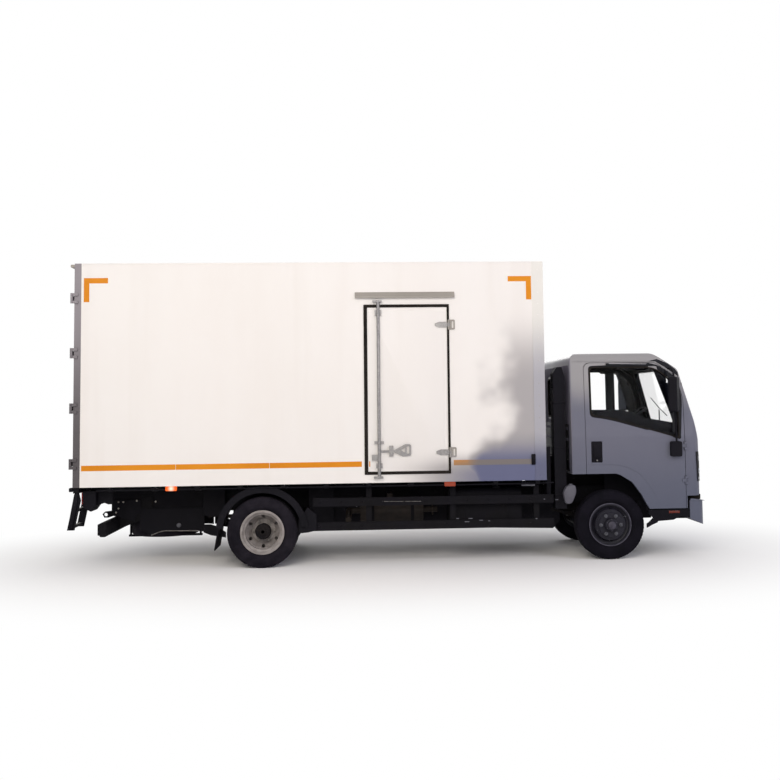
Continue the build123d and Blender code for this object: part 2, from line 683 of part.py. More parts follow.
def rear_frame():
    """Steel door portal at the tail: posts with the rear doors' hinge pins, sill and header."""
    across = INNER_Y - SEAT
    found = [
        block(REAR_FACE_X, BOX_REAR_X, -across, across, BOX_BOTTOM, PORTAL_LOW),
        block(REAR_FACE_X, BOX_REAR_X, -across, across, PORTAL_HIGH, BOX_TOP),
    ]
    for side in SIDES.values():
        post = block(REAR_FACE_X, BOX_REAR_X, side * INNER_Y, side * BOX_HALF_WIDTH, BOX_BOTTOM, BOX_TOP)
        found.append(joined([post, *[rear_pin(side, z) for z in REAR_HINGE_Z]]))
    return found


def rear_pin(side, z):
    """Fixed half of one rear hinge: two ears on the post and the pin between them."""
    y = side * REAR_PIN_Y
    pin = rod((REAR_PIN_X, y, z - 55), (REAR_PIN_X, y, z + 55), REAR_PIN_R)
    parts = [pin]
    for low, high in ((-55, -26), (26, 55)):
        parts.append(rod((REAR_PIN_X, y, z + low), (REAR_PIN_X, y, z + high), 14))
        parts.append(block(REAR_PIN_X - 4, REAR_FACE_X + 40, y - side * 14, y + side * 4, z + low, z + high))
        parts.append(block(REAR_FACE_X - 6, REAR_FACE_X, side * (BOX_HALF_WIDTH - 60), y, z + low, z + high))
    return joined(parts)


def rear_door(side):
    """One insulated rear door leaf."""
    y0, y1 = side * 4, side * (INNER_Y - DOOR_GAP)
    return block(LEAF_FACE_X, BOX_REAR_X - 6, y0, y1, PORTAL_LOW + DOOR_GAP, PORTAL_HIGH - DOOR_GAP)


def rear_hardware(side):
    """Hinge straps and two lock bars with their guides and handles on one leaf."""
    found = []
    for z in REAR_HINGE_Z:
        y = side * REAR_PIN_Y
        eye = rod((REAR_PIN_X, y, z - 25), (REAR_PIN_X, y, z + 25), 14)
        strap = block(REAR_PIN_X + 2, LEAF_FACE_X - SEAT, y, side * (INNER_Y - 230), z - 25, z + 25)
        bore = rod((REAR_PIN_X, y, z - 30), (REAR_PIN_X, y, z + 30), REAR_PIN_R + PIN_FIT)
        found.append(eye + strap - bore)
    for bar_y in REAR_BARS_Y:
        y = side * bar_y
        bar = rod((LOCK_BAR_X, y, PORTAL_LOW + 12), (LOCK_BAR_X, y, PORTAL_HIGH - 12), 13)
        parts = [bar]
        for z in (PORTAL_LOW + 120, PORTAL_LOW + 760, PORTAL_LOW + 1500, PORTAL_HIGH - 120):
            parts.append(block(LOCK_BAR_X, LEAF_FACE_X - SEAT, y - 26, y + 26, z - 24, z + 24))
        grip_z = BOX_BOTTOM + 480
        parts.append(block(LOCK_BAR_X - 22, LOCK_BAR_X - 8, y, y - side * 240, grip_z - 14, grip_z + 14))
        found.append(joined(parts))
    return found


def box_trims():
    """Corner profiles at the front of the box, roof edges and two rain gutters."""
    found = []
    for side in SIDES.values():
        outline = [
            (BOX_FRONT_X - 120, side * (BOX_HALF_WIDTH + SEAT)), (BOX_FRONT_X - 120, side * (BOX_HALF_WIDTH + 4)),
            (BOX_FRONT_X + 4, side * (BOX_HALF_WIDTH + 4)), (BOX_FRONT_X + 4, side * (BOX_HALF_WIDTH - 110)),
            (BOX_FRONT_X + SEAT, side * (BOX_HALF_WIDTH - 110)), (BOX_FRONT_X + SEAT, side * (BOX_HALF_WIDTH + SEAT)),
        ]
        found.append(floor_plate(outline, BOX_BOTTOM, BOX_TOP - 2))
    x0, x1 = GUTTER_X
    gutter = [
        (-BOX_HALF_WIDTH - SEAT, 2962), (-BOX_HALF_WIDTH - 34, 2914), (-BOX_HALF_WIDTH - 34, 2895),
        (-BOX_HALF_WIDTH - 30, 2895), (-BOX_HALF_WIDTH - 30, 2909), (-BOX_HALF_WIDTH - SEAT, 2950),
    ]
    found.append(front_plate(gutter, x0, x1))
    found.append(block(REAR_FACE_X - 42, REAR_FACE_X - SEAT, -BOX_HALF_WIDTH, BOX_HALF_WIDTH, BOX_TOP - 40, BOX_TOP - 12))
    return found


def side_door():
    """The insulated side door leaf."""
    (x0, x1), (z0, z1) = SIDE_DOOR_X, SIDE_DOOR_Z
    g = DOOR_GAP
    return block(x0 + g, x1 - g, -BOX_HALF_WIDTH, -INNER_Y, z0 + g, z1 - g)


def side_hinge(z):
    """One side door hinge: the tapered strap on the door and the looped plate on the wall."""
    x, y, face = SIDE_PIN_X, -BOX_HALF_WIDTH - SIDE_EYE_R - 1, -BOX_HALF_WIDTH
    front, half, eye_half = face - 10, SIDE_HINGE_HALF, SIDE_HINGE_HALF / 3
    strap = side_plate(
        [(x - 16, z - 31), (x - 16, z + 31), (x - 104, z + 31), (x - 152, z + 14), (x - 152, z - 14), (x - 104, z - 31)],
        face, front, 10,
    )
    moving = joined([
        strap,
        block(x - 26, x, face, front, z - eye_half + 1, z + eye_half - 1),
        rod((x, y, z - eye_half + 1), (x, y, z + eye_half - 1), SIDE_EYE_R),
    ])
    moving -= rod((x, y, z - half), (x, y, z + half), SIDE_PIN_R + PIN_FIT)
    loop = side_plate([(x + 16, z - half), (x + 16, z + half), (x + 68, z + half), (x + 68, z - half)], face, front, 14)
    loop -= side_plate([(x + 34, z - 38), (x + 34, z + 38), (x + 52, z + 38), (x + 52, z - 38)], face + 1, front - 1, 8)
    parts = [loop, rod((x, y, z - half), (x, y, z + half), SIDE_PIN_R)]
    for low, high in ((z - half, z - eye_half), (z + eye_half, z + half)):
        parts.append(rod((x, y, low), (x, y, high), SIDE_EYE_R))
        parts.append(block(x, x + 30, face, front, low, high))
    return moving, joined(parts)


def side_hinges():
    """Both side door hinges, as the moving straps and the fixed loops."""
    made = [side_hinge(z) for z in SIDE_HINGE_Z]
    return [m for m, _ in made], [f for _, f in made]


def side_door_hardware():
    """Hinge straps, and the lock rod with its cams, guides, clasp and D-shaped grip."""
    straps, _ = side_hinges()
    face = -BOX_HALF_WIDTH - SEAT
    y = face - 27
    low, high = ROD_Z
    parts = [rod((ROD_X, y, low), (ROD_X, y, high), 17)]
    for z in (low + 12, high - 12):
        parts.append(block(ROD_X - 60, ROD_X + 42, y - 14, y + 10, z - 11, z + 11))
    for z, half, tall in ((1078, 34, 26), (1328, 50, 14), (2735, 36, 30)):
        parts.append(block(ROD_X - half, ROD_X + half, y, face, z - tall, z + tall))
    parts.append(block(ROD_X - 80, ROD_X - 10, y, face, 1136, 1198))
    near, far = face - 22, face - 10
    neck = HANDLE_Z - 3
    parts.append(block(ROD_X, -2380, near, far, neck - 11, neck + 11))
    parts.append(block(-2443, -2398, near - 6, face, HANDLE_Z - 57, HANDLE_Z + 57))
    grip = side_plate(
        [(-2390, neck - 11), (-2390, neck + 11), (-2270, HANDLE_Z + 70), (-2206, HANDLE_Z + 70), (-2206, HANDLE_Z - 54),
         (-2300, HANDLE_Z - 58)], near, far, [2, 2, 20, 22, 22, 20],
    )
    grip -= side_plate([(-2322, HANDLE_Z + 10), (-2272, HANDLE_Z + 40), (-2272, HANDLE_Z - 22)], near - 1, far + 1, 5)
    grip -= side_plate(
        [(-2254, HANDLE_Z - 32), (-2254, HANDLE_Z + 52), (-2226, HANDLE_Z + 52), (-2226, HANDLE_Z - 32)],
        near - 1, far + 1, 9,
    )
    parts.append(grip)
    return [*straps, joined(parts)]


def rear_ladder():
    """Two treads on slanted side rails below the right rear corner."""
    rail = [(-5746, BEARER_BOTTOM - SEAT), (-5788, BEARER_BOTTOM - SEAT), (-5867, 446), (-5791, 446), (-5726, 760)]
    parts = []
    for y in LADDER_Y:
        parts.append(side_plate(rail, y, y + 20))
    for x, z in LADDER_TREADS:
        parts.append(block(x - 22, x + 22, LADDER_Y[0] + 15, LADDER_Y[1] + 5, z, z + 24))
    return joined(parts)


# Cab
def cab_outer(inset, floor_z):
    """The cab's outside form, or its inside one where it is inset."""
    top = CAB_ROOF - inset
    half = CAB_HALF_WIDTH - inset
    rear = CAB_REAR_X + inset
    slope = inset * 1.03
    low = SKIRT_BOTTOM - 20
    side = [
        (rear, low), (rear, top), (520 - inset * 0.4, top), (793 - slope, 2092 - inset * 0.3),
        (1014 - slope, 1300 - inset * 0.1), (1028 - inset, 1000), (1018 - inset, low),
    ]
    form = side_plate(side, -half - 20, half + 20, [0.5, 90 - inset / 2, 150, 90, 90, 180, 0.5])
    shoulder = 70
    across = [
        (-half, low - 5), (-half, 1350), (-half + shoulder, top + 4), (half - shoulder, top + 4), (half, 1350),
        (half, low - 5),
    ]
    form &= front_plate(across, rear - 10, 1100, [0.5, 300, 110 - inset, 110 - inset, 300, 0.5])
    far = half + 9
    plan = [(rear - 5, -far), (1026 - inset, -far), (1026 - inset, far), (rear - 5, far)]
    form &= floor_plate(plan, floor_z, CAB_ROOF + 9, [0.5, 150 - inset / 2, 150 - inset / 2, 0.5])
    return form


def cab_envelope():
    """The cab's solid envelope, cut away over the wheels and above the bumper."""
    outer = cab_outer(0, SKIRT_BOTTOM)
    outer -= side_plate(
        [(CAB_REAR_X - 1, SKIRT_BOTTOM - 1), (CAB_REAR_X - 1, CAB_FLOOR), (60, CAB_FLOOR), (115, 928), (244, 846),
         (339, 715), (402, 601), (433, SKIRT_BOTTOM - 1)], -1100, 1100,
    )
    return outer - block(855, 1100, -1100, 1100, SKIRT_BOTTOM - 1, 690)


def cab_body():
    """The whole cab as one hollow shell, before its doors and panels are cut out."""
    outer = cab_envelope()
    inner = cab_outer(CAB_WALL, CAB_FLOOR + CAB_WALL)
    tunnel = block(CAB_REAR_X + CAB_WALL - 1, 640, -TUNNEL_HALF, TUNNEL_HALF, CAB_FLOOR + CAB_WALL - 1, TUNNEL_TOP)
    body = outer - (inner - tunnel)
    body -= block(CAB_REAR_X - 1, 600, 40 - TUNNEL_HALF, TUNNEL_HALF - 40, SKIRT_BOTTOM, TUNNEL_TOP - 40)
    under_half = CAB_HALF_WIDTH - CAB_WALL
    body -= block(60, 978, -under_half, under_half, SKIRT_BOTTOM - 1, CAB_FLOOR)
    return body


def inset_outline(points, by):
    """An outline moved in by a distance along each edge's normal."""
    n = len(points)
    turn = sum(points[i][0] * points[(i + 1) % n][1] - points[(i + 1) % n][0] * points[i][1] for i in range(n))
    sign = 1 if turn > 0 else -1
    moved = []
    for i in range(n):
        (ax, az), (bx, bz), (cx, cz) = points[i - 1], points[i], points[(i + 1) % n]
        ux, uz = bx - ax, bz - az
        vx, vz = cx - bx, cz - bz
        lu, lv = hypot(ux, uz), hypot(vx, vz)
        nux, nuz = -uz / lu * sign, ux / lu * sign
        nvx, nvz = -vz / lv * sign, vx / lv * sign
        k = by / (1 + nux * nvx + nuz * nvz)
        moved.append((bx + (nux + nvx) * k, bz + (nuz + nvz) * k))
    return moved


def door_cut(side, by):
    """The prism that parts a cab door from the cab, inset where it trims the door."""
    y0, y1 = side * (CAB_HALF_WIDTH - 180), side * (CAB_HALF_WIDTH + 50)
    outline = inset_outline(DOOR_OUTLINE, by) if by else DOOR_OUTLINE
    return side_plate(outline, y0, y1, DOOR_ROUND)


def window_cut(side, by=0):
    """The prism that cuts the side window."""
    y0, y1 = side * (CAB_HALF_WIDTH - 200), side * (CAB_HALF_WIDTH + 60)
    outline = inset_outline(WINDOW_OUTLINE, by) if by else WINDOW_OUTLINE
    return side_plate(outline, y0, y1, WINDOW_ROUND)


def cab_hinges(side):
    """Both hinges of one cab door, as (moving, fixed, relief)."""
    made = []
    for z in CAB_HINGE_Z:
        y = side * (CAB_HALF_WIDTH + 1)
        eye = rod((CAB_DOOR_FRONT_X - 3, y, z - 18), (CAB_DOOR_FRONT_X - 3, y, z + 18), 11)
        tongue = block(CAB_DOOR_FRONT_X - 40, CAB_DOOR_FRONT_X - 3, y + side * 8, y - side * 12, z - 18, z + 18)
        bore = rod((CAB_DOOR_FRONT_X - 3, y, z - 60), (CAB_DOOR_FRONT_X - 3, y, z + 60), 5 + PIN_FIT)
        moving = eye + tongue - bore
        fixed = [rod((CAB_DOOR_FRONT_X - 3, y, z - 45), (CAB_DOOR_FRONT_X - 3, y, z + 45), 5)]
        for low, high in ((-45, -20), (20, 45)):
            fixed.append(rod((CAB_DOOR_FRONT_X - 3, y, z + low), (CAB_DOOR_FRONT_X - 3, y, z + high), 11))
            fixed.append(
                block(CAB_DOOR_FRONT_X - 3, CAB_DOOR_FRONT_X + 34, y + side * 8, y - side * 12, z + low, z + high)
            )
        relief = rod((CAB_DOOR_FRONT_X - 3, y, z - 50), (CAB_DOOR_FRONT_X - 3, y, z + 50), 15)
        made.append((moving, joined(fixed), relief))
    return made


def front_panel_cut(grow):
    """The region of the shell that is the front panel."""
    z0, z1 = FRONT_PANEL_Z
    region = block(933 - grow, 1200, -900 - grow, 900 + grow, z0 - grow, z1 + grow)
    floor_slab = block(880, 975 - grow, -1000, 1000, CAB_FLOOR - 1 + grow, CAB_FLOOR + CAB_WALL + 1 - grow)
    return region - floor_slab


def windscreen_cut(by):
    """The prism that cuts the windscreen opening through the sloping front."""
    z0, z1 = SCREEN_Z
    outline = [(-860 + by, z0 + by), (860 - by, z0 + by), (800 - by, z1 - by), (-800 + by, z1 - by)]
    return front_plate(outline, 600, 1200, 70)


def rear_window_cut(by):
    """The prism that cuts the small window in the back wall."""
    z0, z1 = BACK_WINDOW_Z[0] + by, BACK_WINDOW_Z[1] - by
    half = BACK_WINDOW_HALF - by
    outline = [(-half, z0), (half, z0), (half, z1), (-half, z1)]
    return front_plate(outline, CAB_REAR_X - 10, CAB_REAR_X + CAB_WALL + 30, 50)


def cab_shell(body):
    """Roof, pillars, back wall and floor, with every opening cut."""
    shell = body - windscreen_cut(0) - rear_window_cut(0) - front_panel_cut(0.5)
    inside = cab_outer(CAB_WALL + CAB_GAP, SKIRT_BOTTOM - 10)
    for side in SIDES.values():
        shell -= door_cut(side, 0) - inside
        for _, fixed, relief in cab_hinges(side):
            shell = shell - relief + fixed
        lug_y0, lug_y1 = [side * y for y in CAB_LUG_Y]
        lug = side_plate(
            [(933, 760), (933, 950), (962, 950), (962, 698), (1002, 668), (1002, 640), (988, 625), (963, 625), (950, 648)],
            lug_y0, lug_y1,
        )
        shell += lug
        x, z = CAB_PIVOT
        shell -= rod((x, lug_y0 - side * 20, z), (x, lug_y1 + side * 20, z), CAB_PIVOT_R + PIN_FIT)
    return shell


def cab_mounts():
    """Pivot brackets for the cab at the front of the rails and rests at its rear."""
    found = []
    x, z = CAB_PIVOT
    for side in SIDES.values():
        pin = rod((x, side * RAIL_Y, z), (x, side * 500, z), CAB_PIVOT_R)
        plate = side_plate(
            [(x - 120, z - 40), (x - 120, z + 50), (x - 50, z + 50), (x + 22, z + 14), (x + 22, z - 22), (x - 30, z - 40)],
            side * RAIL_Y, side * (RAIL_Y + 16),
        )
        found.append(pin + plate)
    return found


def cab_door(side):
    """One cab door, as thick as the cab wall, with its window cut and hinge tongues."""
    door = cab_envelope() - cab_outer(CAB_WALL, SKIRT_BOTTOM - 10)
    door &= door_cut(side, CAB_GAP)
    door -= window_cut(side)
    door -= block(*DOOR_PULL_X, side * (CAB_HALF_WIDTH - 22), side * (CAB_HALF_WIDTH + 5), *DOOR_PULL_Z)
    for moving, _, relief in cab_hinges(side):
        door = door - relief + moving
    solids = sorted(door.solids(), key=lambda s: s.volume)
    return solids[-1]


def door_glass(side):
    """The side window pane, in the middle of the door's thickness."""
    pane = cab_outer(22, CAB_FLOOR + CAB_WALL) - cab_outer(27, CAB_FLOOR + CAB_WALL)
    pane &= window_cut(side, SEAT)
    solids = sorted(pane.solids(), key=lambda s: s.volume)
    return solids[-1]


def cab_glass():
    """Windscreen and rear window panes."""
    form = cab_outer(20, CAB_FLOOR + CAB_WALL) - cab_outer(26, CAB_FLOOR + CAB_WALL)
    front = sorted((form & windscreen_cut(SEAT)).solids(), key=lambda s: s.volume)[-1]
    rear = sorted((form & rear_window_cut(SEAT)).solids(), key=lambda s: s.volume)[-1]
    return [front, rear]


def front_panel(body):
    """Front panel with its slatted grille between the headlamps."""
    panel = body & front_panel_cut(0)
    panel = sorted(panel.solids(), key=lambda s: s.volume)[-1]
    for side in SIDES.values():
        panel -= lamp_cut(side, 0)
    for i in range(5):
        z = 900 + 52 * i
        half = 520 - 12 * i
        slot = front_plate([(-half, z), (half, z), (half - 10, z + 30), (-half + 10, z + 30)], 900, 1200, 8)
        panel -= slot
    return panel


def lamp_cut(side, by):
    """The region of one headlamp in the front panel."""
    outline = [
        (side * (640 + by), 850 + by), (side * (895 - by), 850 + by), (side * (895 - by), 1165 - by),
        (side * (700 + by), 1140 - by),
    ]
    return front_plate(outline, 850, 1200, 25)


def headlamps(body):
    """Headlamp units that fill their places in the front panel."""
    found = []
    panel = body & front_panel_cut(-1)
    for side in SIDES.values():
        lamp = panel & lamp_cut(side, 0.5)
        found.append(sorted(lamp.solids(), key=lambda s: s.volume)[-1])
    return found


def dashboard():
    """Dashboard with its cowl, and the steering column's shroud."""
    foot = CAB_FLOOR + CAB_WALL + SEAT
    outline = [(700, foot), (938, foot), (938, 1300), (880, 1360), (680, 1380), (630, 1330), (650, 1200)]
    board = side_plate(outline, -905, 905)
    column = rod(COLUMN_FOOT, COLUMN_TOP, 42)
    return board + column


def steering_wheel():
    """Rim, three spokes and boss square to the column, on a stub shaft."""
    ring = Torus(STEERING_R, 15)
    boss = Cylinder(48, 46)
    spokes = [
        Rot(0, 0, a) * Pos(STEERING_R / 2, 0, 0) * Box(STEERING_R, 34, 14) for a in (0, 130, 230)
    ]
    wheel = joined([boss, *spokes, ring])
    ahead = Vector(*COLUMN_TOP) - Vector(*COLUMN_FOOT)
    centre = Vector(*COLUMN_TOP) + ahead.normalized() * (23 + SEAT)
    return Plane(origin=centre, x_dir=(0, -1, 0), z_dir=ahead) * wheel


def seats():
    """Driver's seat on the left and a bench for two on the right."""
    found = []
    for y0, y1 in ((370, 900), (-900, -370)):
        base = block(-340, 170, y0, y1, CAB_FLOOR + CAB_WALL, 1330)
        cushion = side_plate([(-350, 1330), (-350, 1440), (170, 1460), (210, 1400), (190, 1330)], y0, y1)
        back = side_plate([(-350, 1430), (-370, 1900), (-250, 1900), (-200, 1430)], y0, y1)
        found.append(joined([base, cushion, back]))
    return found


def mirror_unit(side):
    """Door mirror: head, upper and lower arms and the block that they fix to."""
    head = Rot(0, 0, side * 25) * Box(100, 190, 385)
    head = fillet(head.edges(), 22)
    x, y, z = MIRROR
    head = Pos(x, side * y, z) * head
    arm = rod((x + 12, side * (y - 30), z + 179), (x + 44, side * (y - 95), z - 571), 11)
    base = block(672, 794, side * (CAB_HALF_WIDTH + SEAT), side * (CAB_HALF_WIDTH + 62), 1125, 1292)
    base = fillet(base.edges().filter_by(Axis.Y), 20)
    return joined([head, arm, base])


def main():
    os.makedirs("parts", exist_ok=True)
    write("chassis_frame", *chassis_frame())
    write("box_underframe", *box_underframe())
    write("tow_eyes", *tow_eyes())
    write("front_axle", front_axle())
    write("rear_axle", rear_axle())
    write("leaf_springs", *leaf_springs())
    write("engine_block", engine_block())
    write("driveline", *driveline())
    write("fuel_tank", fuel_tank())
    write("battery_box", *battery_box())
    write("side_guards", *side_guards())
    write("underrun_bar", underrun_bar())
    write("rear_fenders", *rear_fenders())
    write("spare_wheel", *spare_wheel(), spare_carrier())
    write("exhaust", exhaust())
    write("tail_lamps", *tail_lamps())
    write("marker_lamps", *marker_lamps())
    write("air_intake", air_intake())
    write("front_bumper", front_bumper())
    write("step_panels", *step_panels())
    write("box_floor", box_floor())
    write("box_wall_left", box_wall(1))
    write("box_wall_right", box_wall(-1))
    write("box_wall_front", box_front_wall())
    write("box_roof", box_roof())
    write("rear_frame", *rear_frame())
    write("box_trims", *box_trims(), *side_hinges()[1])
    write("rear_ladder", rear_ladder())
    write("side_door", side_door())
    write("side_door_hardware", *side_door_hardware())
    body = cab_body()
    write("cab_shell", cab_shell(body))
    write("front_panel", front_panel(body))
    write("headlamps", *headlamps(body))
    write("cab_glass", *cab_glass())
    write("dashboard", dashboard())
    write("steering_wheel", steering_wheel())
    write("seats", *seats())
    write("tie_rod", tie_rod())
    for name, side in SIDES.items():
        write(f"rear_door_{name}", rear_door(side))
        write(f"rear_hardware_{name}", *rear_hardware(side))
        write(f"cab_door_{name}", cab_door(side))
        write(f"door_glass_{name}", door_glass(side))
        write(f"mirror_{name}", mirror_unit(side))
        write(f"knuckle_{name}", knuckle(side))
        wheel, tyre = front_wheel(side)
        write(f"front_rim_{name}", wheel)
        write(f"front_tyre_{name}", tyre)
        wheels, tyres = rear_wheels(side)
        write(f"rear_rims_{name}", wheels)
        write(f"rear_tyres_{name}", *tyres)


main()
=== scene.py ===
"""Looks of the insulated box truck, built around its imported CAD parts.

Lengths below are millimetres, with X measured forward from the front axle, Y to the left
and Z up from the ground, as on the drawing. at() turns them into the frame's metres.
"""

import json
from math import cos, exp, hypot, pi, radians, sin

import bmesh
import bpy
import numpy as np
from mathutils import Matrix, Vector
from mathutils.bvhtree import BVHTree


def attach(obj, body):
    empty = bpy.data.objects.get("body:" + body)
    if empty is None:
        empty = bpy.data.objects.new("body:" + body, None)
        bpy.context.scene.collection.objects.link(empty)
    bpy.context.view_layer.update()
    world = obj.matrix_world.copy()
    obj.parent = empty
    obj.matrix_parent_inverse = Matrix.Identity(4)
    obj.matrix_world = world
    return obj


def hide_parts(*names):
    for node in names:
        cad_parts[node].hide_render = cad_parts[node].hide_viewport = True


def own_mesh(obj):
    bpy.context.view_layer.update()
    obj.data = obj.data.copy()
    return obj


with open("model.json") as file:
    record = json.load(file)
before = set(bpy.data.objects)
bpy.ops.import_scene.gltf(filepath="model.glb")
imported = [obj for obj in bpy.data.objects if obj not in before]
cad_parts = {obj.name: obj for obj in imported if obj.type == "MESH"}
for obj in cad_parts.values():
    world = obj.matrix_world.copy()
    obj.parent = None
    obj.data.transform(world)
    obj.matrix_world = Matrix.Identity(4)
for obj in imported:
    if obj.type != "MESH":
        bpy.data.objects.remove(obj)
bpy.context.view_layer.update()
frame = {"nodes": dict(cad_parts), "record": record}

MM = 0.001
ORIGIN_X = -2409.5
SIDES = {"right": -1, "left": 1}

BOX_X = (-5732, -736)
WALL_Y = 1125
REAR_LEAF_X = -5817
REAR_FRAME_X = -5805
CAB_Y = 1000
AXLE_Z = 380
REAR_AXLE_X = -3815

FRONT_RAY = 2000  # rays along X start this far forward
SIDE_RAY = 1500  # rays along Y start this far out
SHARP = 0.45  # edges that turn by more than this, in radians, are broken
CREASE = 34  # degrees above which shading stays sharp
TAPE_THICK = 1.2
ROD_Y = (330, 760)  # the lock rods of each rear door
STUD_RADIUS = 111
SKIN_Y = 0.7  # metres: a ray from the side that lands nearer the middle has missed the skin
DOOR_Y = 0.8  # metres: the same for the cab doors
FRONT_SKIN_X = 820  # a ray from the front that lands behind this has gone in through an opening
LEAN = 0.3  # the least that the front skin has to face forward
DRAW_STEPS = 20  # steps in which a line past the CAD's edge is drawn in
SAME_LEVEL = 0.06  # metres: a point deeper than this lies in an opening
TOO_NEAR = 0.0008  # metres between a band's two lines


def outward(side):
    """The axis name that a side of the truck faces."""
    return "y" if side > 0 else "-y"


def at(x, y, z):
    """A point of the drawing, in the frame's metres."""
    return Vector(((x - ORIGIN_X) * MM, y * MM, z * MM))


# ---------------------------------------------------------------- shader nodes
def linear(code):
    """An sRGB hex colour as linear red, green, blue and alpha."""
    found = []
    for i in (1, 3, 5):
        v = int(code[i:i + 2], 16) / 255
        found.append(v / 12.92 if v <= 0.04045 else ((v + 0.055) / 1.055) ** 2.4)
    return (*found, 1.0)


def add(tree, kind, inputs=None, **settings):
    """Add one node with its settings, and its inputs as values or as links."""
    made = tree.nodes.new(kind)
    for name, value in settings.items():
        setattr(made, name, value)
    for key, value in (inputs or {}).items():
        if isinstance(value, bpy.types.NodeSocket):
            tree.links.new(value, made.inputs[key])
        else:
            made.inputs[key].default_value = value
    return made


def surface(name, tone, worn, patch, rough, spread=0.08, grain=0, lift=0.0, stretch=(1, 1, 1), dust=None, **shader):
    """A finish whose tone and gloss drift in patches, over a fine grain.

    patch and grain are the real sizes of the drift and the grain in millimetres, lift is
    the grain's depth, stretch squeezes both along an axis, and dust is (colour, height,
    most) for the road film that lies thicker near the ground.
    """
    material = bpy.data.materials.new(name)
    material.use_nodes = True
    tree = material.node_tree
    tree.nodes.clear()
    place = add(tree, "ShaderNodeTexCoord").outputs["Object"]
    spun = add(tree, "ShaderNodeMapping", {"Vector": place, "Scale": stretch}).outputs["Vector"]
    drift = add(tree, "ShaderNodeTexNoise", {"Vector": spun, "Scale": 1000 / patch, "Detail": 5.0, "Roughness": 0.55})
    share = add(tree, "ShaderNodeMapRange", {"Value": drift.outputs["Fac"], "From Min": 0.36, "From Max": 0.64})
    colour = mixed(tree, share.outputs["Result"], linear(tone), linear(worn))
    if dust:
        film, height, most = dust
        level = split(tree, place)["Z"]
        low = add(
            tree, "ShaderNodeMapRange", {"Value": level, "From Min": height * MM, "From Max": 0.0, "To Max": most},
        )
        lies = sums(tree, "MULTIPLY", low.outputs["Result"], noise(tree, place, 9.0, 6.0))
        colour = mixed(tree, lies, colour, linear(film))
    gloss = add(tree, "ShaderNodeMapRange", {
        "Value": drift.outputs["Fac"], "From Min": 0.3, "From Max": 0.7, "To Min": rough - spread,
        "To Max": rough + spread,
    })
    inputs = {"Base Color": colour, "Roughness": gloss.outputs["Result"]}
    if grain:
        fine = noise(tree, spun, 1000 / grain, 3.0)
        bump = add(tree, "ShaderNodeBump", {"Strength": 0.6, "Distance": lift * MM, "Height": fine})
        inputs["Normal"] = bump.outputs["Normal"]
    inputs.update(shader)
    principled = add(tree, "ShaderNodeBsdfPrincipled", inputs)
    add(tree, "ShaderNodeOutputMaterial", {"Surface": principled.outputs[0]})
    return material


def parts_of(material):
    """A material's tree, its shader node and its Object coordinates."""
    tree = material.node_tree
    shader = next(n for n in tree.nodes if n.type == "BSDF_PRINCIPLED")
    place = next(n for n in tree.nodes if n.type == "TEX_COORD").outputs["Object"]
    return tree, shader, place


def base_of(shader):
    """The colour that a material has so far."""
    return shader.inputs["Base Color"].links[0].from_socket


def mixed(tree, share, first, second):
    """One colour turning into another by a share."""
    return add(tree, "ShaderNodeMix", {0: share, 6: first, 7: second}, data_type="RGBA").outputs[2]


def split(tree, place):
    """The outputs X, Y and Z of a point."""
    return add(tree, "ShaderNodeSeparateXYZ", {"Vector": place}).outputs


def noise(tree, place, scale, detail):
    """The height of a noise at a point, 0 to 1."""
    return add(tree, "ShaderNodeTexNoise", {"Vector": place, "Scale": scale, "Detail": detail}).outputs["Fac"]


def coloured(tree, shader, colour):
    """Give a material another colour."""
    tree.links.new(colour, shader.inputs["Base Color"])


def bumped(tree, shader, strength, metres, height):
    """Give a material a bump."""
    bump = add(tree, "ShaderNodeBump", {"Strength": strength, "Distance": metres, "Height": height})
    tree.links.new(bump.outputs["Normal"], shader.inputs["Normal"])


def eased_range(tree, value, start, end, low=0.0, high=1.0):
    """A smooth rise of low to high while a value goes from start to end."""
    limits = {"Value": value, "From Min": start, "From Max": end, "To Min": low, "To Max": high}
    return add(tree, "ShaderNodeMapRange", limits, interpolation_type="SMOOTHSTEP").outputs["Result"]


def sums(tree, kind, a, b):
    """One sum of the named kind on two values or sockets."""
    return add(tree, "ShaderNodeMath", {0: a, 1: b}, operation=kind).outputs[0]


def painted_shade_depth(tree, place):
    """How deep the painted shade lies: most in the box's lower front corner, cloudy at its edge."""
    ahead, _, height = split(tree, place)
    cloud = noise(tree, place, 2.3, 2.0)
    ripple = sums(tree, "MULTIPLY", sums(tree, "SUBTRACT", cloud, 0.5), 0.7)
    lean = eased_range(tree, height, 1.45, 1.05, 0.0, 0.35)
    along = sums(tree, "ADD", sums(tree, "ADD", ahead, lean), ripple)
    near = eased_range(tree, along, at(-1450, 0, 0).x, at(-1020, 0, 0).x)
    upper = eased_range(tree, height, 2.95, 1.95, 0.0, 0.47)
    lower = eased_range(tree, height, 1.45, 1.0, 0.0, 0.53)
    corner = sums(tree, "MULTIPLY", near, sums(tree, "ADD", upper, lower))
    band = eased_range(tree, ahead, at(-2700, 0, 0).x, at(-1200, 0, 0).x)
    foot = sums(tree, "MULTIPLY", band, eased_range(tree, height, 1.3, 0.95, 0.0, 0.85))
    return sums(tree, "MAXIMUM", corner, foot)


def in_painted_shade(tree, place, colour, grey, deep):
    """A colour under painted shade: greyed where the painted shade is light, lavender where it is deep."""
    # how deep the painted shade lies at this point
    film = painted_shade_depth(tree, place)
    thin = eased_range(tree, film, 0.0, 0.55)
    thick = eased_range(tree, film, 0.4, 1.0)
    first = mixed(tree, thin, colour, linear(grey))
    return mixed(tree, thick, first, linear(deep))


